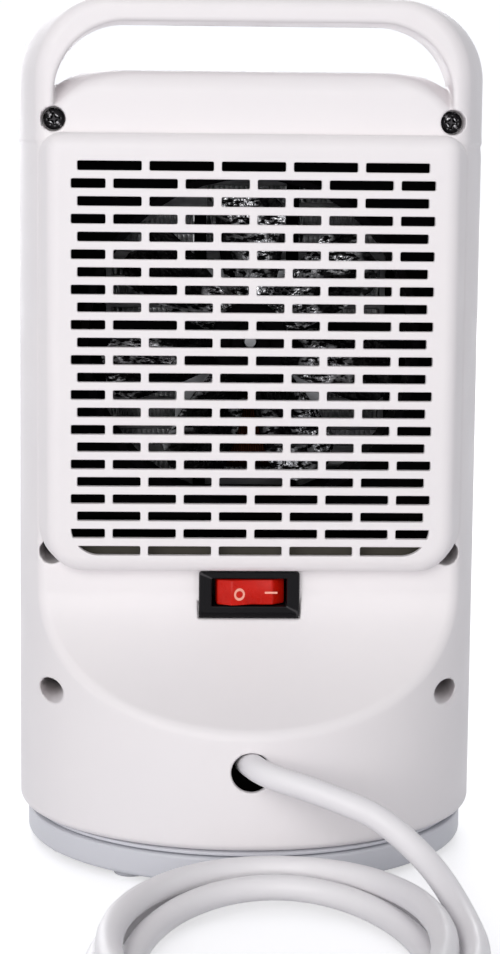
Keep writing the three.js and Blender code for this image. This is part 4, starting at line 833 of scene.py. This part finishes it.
def make_marks():
    """The ring for off and the bar for on, moulded a little proud of the rocker's two slopes."""
    slope, proud, sunk = 1.0 / 6.3, 0.06, -0.1
    points, faces = [], []

    def put(outer, inner, cx, up):
        start, n = len(points), len(outer)
        for outline, lift in ((outer, sunk), (outer, proud), (inner, proud), (inner, sunk)):
            for dx, dz in outline:
                x = cx + dx
                y = BEZEL_FRONT_Y - 0.7 + abs(x) * slope + lift
                points.append((x, y, SWITCH_Z + up + dz))
        for s in range(4):
            for i in range(n):
                j, here, there = (i + 1) % n, start + s * n, start + (s + 1) % 4 * n
                faces.append((here + i, there + i, there + j, here + j))

    ring = [(x, 1.12 * z) for x, z in arc(0, 0, 1.72, 0, 352.5, 47)]
    put(ring, arc(0, 0, 1.1, 0, 352.5, 47), 3.9, 0.3)
    bar = rounded_rect(-1.9, 1.9, -0.3, 0.3, 0.1, 0.1, 3)
    put(bar, [(x * 0.02, z * 0.02) for x, z in bar], -5.9, 0.7)
    return piece("rocker_marks", rocker_turn(points), faces, "rocker", "red", [])


make_switch()
make_rocker()
marks = make_marks()


def screw_field(x, y, z):
    """A pan head facing +Y with a cross recess; y = 0 is under the head."""
    r = np.sqrt(x * x + z * z)
    head = both(r - 3.3, np.sqrt(r * r + (y + 4.6) ** 2) - 6.9, 0.3)
    head = both(head, -y, 0.2)
    lean = np.clip(2.3 - y, 0, 2) * 0.3
    cross = np.minimum(np.maximum(np.abs(x) - 0.42 + lean * 0.2, np.abs(z) - 2.1 + lean),
                       np.maximum(np.abs(z) - 0.42 + lean * 0.2, np.abs(x) - 2.1 + lean))
    cone = (r - (y - 0.2) * 0.62) * 0.85
    cross = np.maximum(either(cross, cone, 0.15), 0.55 - y)
    head = both(head, -cross, 0.1)
    shank = np.maximum(r - 1.5, np.abs(y + 5) - 6)
    return np.minimum(head, shank)


def make_screw(name, side, word):
    px, pz, seat, turn = SCREWS[name]
    px *= side
    c, s = math.cos(math.radians(turn * side)), math.sin(math.radians(turn * side))

    def field(x, y, z):
        u, w = x - px, z - pz
        return screw_field(u * c - w * s, y - (seat + 0.3), u * s + w * c)

    net_piece(f"screw_{name}_{word}_skin", field, (px - 3.7, seat - 10.5, pz - 3.7),
              (px + 3.7, seat + 3.2, pz + 3.7), SCREW_STEP,
              "housing", "screw", [f"screw_{name}_{word}"], 0.5)


for name in SCREWS:
    make_screw(name, -1, "left")
    make_screw(name, 1, "right")

BUTTON_PITCH = 15.5
BUTTON_PROFILE = ([(0, 236), (6.2, 236), (6.2, 237.8), (5, 237.8)] + arc(4.4, 242.3, 0.6, 0, 90, 5)
                  + [(3.4, 242.78), (2, 242.6), (0, 242.5)])
for i, name in enumerate(("power", "heat", "swing")):
    lathe(f"button_{name}_skin", BUTTON_PROFILE, 64, ((i - 1) * BUTTON_PITCH, PANEL_Y, 0), "z",
          f"{name}_button", "shell", [f"button_{name}"])


# ---------- fan ----------

BLADES, HUB_R, BLADE_REACH, BLADE_WIDTH, BLADE_SHEET, FAN_Y = 7, 11, 35, 25, 0.9, 13.5


def make_fan():
    """Twisted, cambered sheet blades on a pressed hub."""
    points, faces = [], []
    across, along = 10, 12
    for i in range(BLADES):
        turn = i * 2 * math.pi / BLADES
        c, d = math.cos(turn), math.sin(turn)
        start = len(points)
        for side in (BLADE_SHEET / 2, -BLADE_SHEET / 2):
            for a in range(along + 1):
                t = a / along
                r = HUB_R + BLADE_REACH * t
                width = (BLADE_WIDTH * (0.56 + 0.9 * t - 0.5 * t * t)
                         * (1 - 0.5 * max(t - 0.85, 0) / 0.15))
                pitch = math.radians(38 - 14 * t)
                for b in range(across + 1):
                    s = b / across - 0.5
                    bend = 1.6 * (0.25 - s * s) + side
                    u = s * width * math.cos(pitch) + bend * math.sin(pitch)
                    y = -s * width * math.sin(pitch) + bend * math.cos(pitch)
                    points.append((u * c + r * d, FAN_Y + y, AIR_Z + r * c - u * d))
        size = (along + 1) * (across + 1)

        def at(side, a, b):
            return start + side * size + a * (across + 1) + b

        for a in range(along):
            for b in range(across):
                faces.append((at(0, a, b), at(0, a, b + 1), at(0, a + 1, b + 1), at(0, a + 1, b)))
                faces.append((at(1, a, b), at(1, a + 1, b), at(1, a + 1, b + 1), at(1, a, b + 1)))
        rim = ([(a, 0) for a in range(along)] + [(along, b) for b in range(across)]
               + [(along - a, across) for a in range(along)]
               + [(0, across - b) for b in range(across)])
        for one, two in zip(rim, rim[1:] + rim[:1]):
            faces.append((at(0, *one), at(0, *two), at(1, *two), at(1, *one)))
    piece("fan_skin", points, faces, "fan", "blades", ["fan_blades"], 40)
    profile = ([(2.3, 8.5), (12, 8.5)] + arc(10.8, 17.3, 1.2, 0, 90, 5) + [(6.6, 18.5)]
               + arc(5.2, 20.7, 0.8, 0, 90, 5) + [(2.3, 21.5)])
    return lathe("fan_hub", profile, 64, (0, 0, AIR_Z), "y", "fan", "blades")[0]


fan_hub = make_fan()


def make_fins():
    """Corrugated sheet fins that fill the gaps between the ceramic rows of the heating block."""
    points, faces = [], []
    rows, row_pitch, fold_pitch, half_height = 12, 8, 0.8, 2.6
    for row in range(rows):
        z = AIR_Z + (row - (rows - 1) / 2) * row_pitch
        for x0, x1 in ((-43.5, -17.2), (-12.8, 12.8), (17.2, 43.5)):
            folds = round((x1 - x0 + 2) / fold_pitch)
            start = len(points)
            for k in range(folds + 1):
                x = x0 - 1 + (x1 - x0 + 2) * k / folds
                high = z + (half_height if k % 2 else -half_height)
                points += [(min(max(x + dx, x0), x1), y, high)
                           for dx, y in ((0.9, -40.6), (-1.1, -30.4), (-0.9, -30.4), (1.1, -40.6))]
            for k in range(folds):
                a, b = start + 4 * k, start + 4 * (k + 1)
                faces += [(a, b, b + 1, a + 1), (a + 3, a + 2, b + 2, b + 3),
                          (a + 1, b + 1, b + 2, a + 2), (a, a + 3, b + 3, b)]
            faces += [tuple(start + j for j in range(4)),
                      tuple(start + 4 * folds + j for j in (3, 2, 1, 0))]
    piece("heating_fins", points, faces, "housing", "ceramic")


make_fins()


# ---------- materials ----------

def srgb(*levels):
    return tuple(((v / 255 + 0.055) / 1.055) ** 2.4 if v > 10 else v / 255 / 12.92 for v in levels)


class Finish:
    """A material whose colour, roughness and bump come from nodes in the object's coordinates."""

    def __init__(self, name, colour, roughness, metallic=0.0, coat=0.0, specular=0.5):
        self.made = bpy.data.materials.new(name)
        self.made.use_nodes = True
        self.tree = self.made.node_tree
        self.shader = self.tree.nodes["Principled BSDF"]
        self.roughness = roughness
        for socket, value in (("Base Color", (*srgb(*colour), 1)), ("Roughness", roughness),
                              ("Metallic", metallic), ("Coat Weight", coat),
                              ("Specular IOR Level", specular)):
            self.shader.inputs[socket].default_value = value
        self.place = self.node("ShaderNodeTexCoord").outputs["Object"]
        self.last_bump = None

    def node(self, kind, **settings):
        made = self.tree.nodes.new(kind)
        for key, value in settings.items():
            if key in made.inputs:
                made.inputs[key].default_value = value
            else:
                setattr(made, key, value)
        return made

    def link(self, a, b):
        self.tree.links.new(a, b)

    def noise(self, scale, detail=3.0, stretch=(1, 1, 1)):
        mapping = self.node("ShaderNodeMapping", Scale=stretch)
        self.link(self.place, mapping.inputs["Vector"])
        made = self.node("ShaderNodeTexNoise", Scale=scale, Detail=detail, Roughness=0.55)
        self.link(mapping.outputs["Vector"], made.inputs["Vector"])
        return made.outputs["Fac"]

    def ranged(self, value, low, high, start=0.3, end=0.7):
        made = self.node("ShaderNodeMapRange")
        for socket, number in zip(made.inputs[1:5], (start, end, low, high)):
            socket.default_value = number
        self.link(value, made.inputs[0])
        return made.outputs[0]

    def times(self, a, b):
        made = self.node("ShaderNodeMath", operation="MULTIPLY")
        self.link(a, made.inputs[0])
        self.link(b, made.inputs[1])
        return made.outputs[0]

    def tinted(self, value, other, amount=1.0):
        """Mixes the colour towards another one where the value is high."""
        mix = self.node("ShaderNodeMix", data_type="RGBA")
        socket = self.shader.inputs["Base Color"]
        if socket.is_linked:
            self.link(socket.links[0].from_socket, mix.inputs[6])
        else:
            mix.inputs[6].default_value = socket.default_value
        mix.inputs[7].default_value = (*srgb(*other), 1)
        self.link(self.ranged(value, 0, amount, 0, 1), mix.inputs[0])
        self.link(mix.outputs[2], socket)

    def patches(self, scale, detail, start, end, other, amount):
        """The same, where a noise rises from start to end."""
        self.tinted(self.ranged(self.noise(scale, detail), 0, 1, start, end), other, amount)

    def rough(self, spread, *noise):
        """Spreads the roughness both ways with a noise."""
        value = self.ranged(self.noise(*noise), self.roughness - spread, self.roughness + spread)
        self.link(value, self.shader.inputs["Roughness"])

    def bump(self, value, distance, strength=1.0):
        made = self.node("ShaderNodeBump", Strength=strength, Distance=distance)
        self.link(value, made.inputs["Height"])
        if self.last_bump:
            self.link(self.last_bump, made.inputs["Normal"])
        self.last_bump = made.outputs["Normal"]
        self.link(self.last_bump, self.shader.inputs["Normal"])

    def worn(self, colour, amount):
        """Rubs the convex edges, found from the mesh's own shape, towards a colour."""
        edge = self.node("ShaderNodeNewGeometry").outputs["Pointiness"]
        self.tinted(self.ranged(edge, 0, 1, 0.53, 0.62), colour, amount)


def moulded(name, colour, roughness, dust, grain=2600, depth=0.00002, wear=None, specular=0.5):
    """Injection moulded plastic: a fine spark-eroded grain, faint flow marks and uneven gloss."""
    made = Finish(name, colour, roughness, specular=specular)
    made.patches(14, 4, 0.42, 0.72, dust, 0.35)
    made.rough(0.05, 60)
    made.bump(made.noise(grain, 2), depth, 0.5)
    made.bump(made.noise(9, 2, (1, 1, 0.35)), 0.0006, 0.06)
    if wear:
        made.worn(wear, 0.5)
    return made.made


def metal(name, colour, roughness, stretch, stain=(60, 58, 56)):
    """Sheet or turned metal with rolling lines, dull patches and brighter rubbed edges."""
    made = Finish(name, colour, roughness, metallic=1.0)
    made.patches(45, 5, 0.5, 0.8, stain, 0.45)
    made.rough(0.12, 120, 3, stretch)
    made.bump(made.noise(900, 2, stretch), 0.00003, 0.6)
    made.worn((225, 225, 228), 0.5)
    return made.made


def blade_metal():
    """Sheet painted near-black as shade, with crumpled patches of bare bright metal that catch
    reflections: glints in the dark.
    """
    made = Finish("blade_sheet_painted_shade", (9, 8, 10), 0.22, specular=0.08)
    patch = made.ranged(made.noise(34, 2), 0, 1, 0.46, 0.52)
    chip = made.ranged(made.noise(330, 4, (1, 1, 2.6)), 0, 1, 0.47, 0.54)
    clear = made.times(patch, chip)
    made.tinted(clear, (226, 227, 230))
    made.link(clear, made.shader.inputs["Metallic"])
    made.rough(0.1, 160)
    made.bump(made.noise(230, 3), 0.0024, 1.0)
    return made.made


def winding():
    """Enamelled wire laid side by side."""
    made = Finish("wire", (74, 38, 20), 0.4, metallic=0.9)
    wave = made.node("ShaderNodeTexWave", wave_type="BANDS", bands_direction="X", Scale=420,
                     Distortion=0.4)
    made.link(made.place, wave.inputs["Vector"])
    made.bump(wave.outputs["Fac"], 0.0003, 0.9)
    made.tinted(made.ranged(wave.outputs["Fac"], 1, 0, 0.0, 0.5), (24, 10, 5), 0.6)
    made.rough(0.08, 80, 2)
    return made.made


def board():
    """Green solder mask with raised tracks."""
    made = Finish("board_green", (26, 84, 48), 0.35, coat=0.3)
    brick = made.node("ShaderNodeTexBrick", Scale=120.0)
    made.link(made.place, brick.inputs["Vector"])
    made.bump(brick.outputs["Fac"], 0.0001, 0.5)
    made.tinted(brick.outputs["Fac"], (60, 130, 84), 0.6)
    made.patches(50, 3, 0.4, 0.7, (16, 56, 34), 0.5)
    made.rough(0.08, 90, 2)
    return made.made


def red_lens():
    """Tinted translucent plastic with deeper patches."""
    made = Finish("red_lens", (204, 24, 8), 0.3, specular=0.2)
    made.patches(120, 3, 0.35, 0.7, (164, 18, 10), 0.55)
    made.rough(0.06, 300, 2)
    made.bump(made.noise(900, 2), 0.00002, 0.3)
    made.shader.inputs["Subsurface Weight"].default_value = 0.08
    made.shader.inputs["Subsurface Radius"].default_value = (0.004, 0.0006, 0.0004)
    return made.made


def rocker_mark():
    made = Finish("mark", (250, 178, 158), 0.4)
    made.patches(700, 3, 0.4, 0.7, (236, 140, 120), 0.5)
    made.bump(made.noise(2000, 2), 0.00001, 0.3)
    return made.made


def sheath():
    """Soft white cable sheath with a fine grain and faint handling marks."""
    made = Finish("sheath", (241, 239, 241), 0.42)
    made.patches(22, 4, 0.45, 0.75, (234, 232, 236), 0.5)
    made.rough(0.07, 130)
    made.bump(made.noise(1400, 2), 0.00003, 0.5)
    made.bump(made.noise(60, 2), 0.0005, 0.12)
    return made.made


# Painted shade: near-black for the white shells' inner walls, the cover's back, the fan hub and the
# inner parts, which lie in shade behind the slots.
INSIDE_PAINTED_SHADE = moulded("inside_painted_shade", (7, 5, 8), 0.75, (12, 10, 13), 1200, depth=0.00004, specular=0.06)
# Painted shade: the white shell's face behind the intake cover, darkened to the shade it lies in.
SHADED = moulded("shell_painted_shade_behind_cover", (100, 97, 88), 0.7, (84, 82, 76), 1600, specular=0.1)
LOOKS = {
    "shell": moulded("white_shell", (242, 238, 239), 0.46, (236, 233, 236), specular=0.4),
    "base": moulded("grey_white_base", (212, 213, 219), 0.42, (200, 201, 209), 2200),
    "black": moulded("black_switch", (12, 11, 14), 0.36, (18, 17, 20), 1800, wear=(84, 82, 84),
                     specular=0.1),
    "outlet": moulded("dark_outlet", (42, 43, 46), 0.5, (54, 54, 58), 1500, wear=(100, 100, 104)),
    "inner": INSIDE_PAINTED_SHADE,
    "rubber": moulded("pale_rubber", (198, 199, 205), 0.85, (176, 177, 184), 3200, depth=0.00006),
    # Painted shade: the fin metal is darkened so the heater's inside shows dark through the slots.
    "ceramic": metal("gilled_fins_painted_shade", (104, 104, 106), 0.5, (1, 1, 12), (30, 28, 28)),
    "steel": metal("lamination_steel", (128, 129, 132), 0.38, (1, 14, 1)),
    "brass": metal("pin_brass", (214, 190, 120), 0.26, (1, 10, 1), (150, 120, 60)),
    "screw": metal("black_screw", (46, 45, 47), 0.36, (1, 1, 1), (18, 18, 19)),
    "blades": blade_metal(), "copper": winding(), "board": board(), "red": red_lens(),
    "cord": sheath(),
}


def dress(made, look):
    # Pieces with painted shade get their own look, then the painted shade of the inside and behind
    # the cover.
    if "dark_faces" in made:
        for i, part in enumerate((look, INSIDE_PAINTED_SHADE, SHADED)):
            made.data.materials[i] = part
        return
    made.data.materials.clear()
    made.data.materials.append(look)


for subpart in frame["record"]["subparts"]:
    node = nodes[subpart["node"]]
    dress(node, LOOKS[subpart["material_slot"]])
    if not node.hide_render:
        merge = node.modifiers.new("merged", "WELD")
        merge.merge_threshold = 0.01 * MM
        bevel = node.modifiers.new("soft edges", "BEVEL")
        bevel.width = 0.25 * MM
        bevel.segments = 2
        bevel.limit_method = "ANGLE"
        bevel.angle_limit = math.radians(35)
for made in bpy.context.scene.objects:
    if made.type == "MESH" and "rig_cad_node" not in made:
        dress(made, LOOKS[made.get("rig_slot", "shell")])
dress(marks, rocker_mark())
# The hub gets the near-black painted shade, so it shows no glints.
dress(fan_hub, INSIDE_PAINTED_SHADE)


# ---------- floor, backdrop and light ----------

def white_to_the_eye(tree, plain, shown):
    """A strength with one value for light and another for what the camera, gloss and glass see."""
    path = tree.nodes.new("ShaderNodeLightPath")
    seen = path.outputs["Is Camera Ray"]
    for name in ("Is Glossy Ray", "Is Transmission Ray"):
        most = tree.nodes.new("ShaderNodeMath")
        most.operation = "MAXIMUM"
        tree.links.new(seen, most.inputs[0])
        tree.links.new(path.outputs[name], most.inputs[1])
        seen = most.outputs[0]
    scale = tree.nodes.new("ShaderNodeMapRange")
    scale.inputs["To Min"].default_value = plain
    scale.inputs["To Max"].default_value = shown
    tree.links.new(seen, scale.inputs["Value"])
    return scale.outputs["Result"]


def make_stage():
    """A pale floor that starts to glow white some way off, beyond the object's shadow."""
    far = 6.0 / MM
    floor = piece("floor", [(-far, -far, 0), (far, -far, 0), (far, far, 0), (-far, far, 0)],
                  [(0, 1, 2, 3)], None, None)
    look = Finish("paper_floor", (206, 206, 210), 0.7)
    look.bump(look.noise(300, 3), 0.0001, 0.2)
    look.shader.inputs["Emission Color"].default_value = (1, 1, 1, 1)
    away = look.node("ShaderNodeVectorMath", operation="LENGTH")
    look.link(look.place, away.inputs[0])
    glow = look.times(look.ranged(away.outputs["Value"], 0.58, 0.9, 0.3, 1.6),
                      white_to_the_eye(look.tree, 0.0, 1.0))
    look.link(glow, look.shader.inputs["Emission Strength"])
    dress(floor, look.made)


LIT_POINT = (0, 0, 0.13)


def area_light(name, place, size, power, colour):
    """A square lamp that faces the middle of the heater."""
    data = bpy.data.lights.new(name, "AREA")
    data.size = size
    data.energy = power
    data.color = colour
    light = placed(name, data)
    light.location = place
    light.rotation_mode = "QUATERNION"
    light.rotation_quaternion = (Vector(LIT_POINT) - Vector(place)).to_track_quat("-Z", "Y")


make_stage()
area_light("key", (0.5, 1.95, 0.62), 1.9, 32, (1.0, 0.98, 0.97))
area_light("front_fill", (0.25, -1.8, 0.75), 1.6, 25.5, (0.98, 0.985, 1.0))
world = bpy.data.worlds.new("world")
bpy.context.scene.world = world
world.use_nodes = True
sky = world.node_tree.nodes["Background"]
sky.inputs["Color"].default_value = (0.955, 0.965, 1.0, 1)
strength = white_to_the_eye(world.node_tree, 0.4, 1.06)
world.node_tree.links.new(strength, sky.inputs["Strength"])
bpy.context.scene.view_settings.view_transform = "Standard"
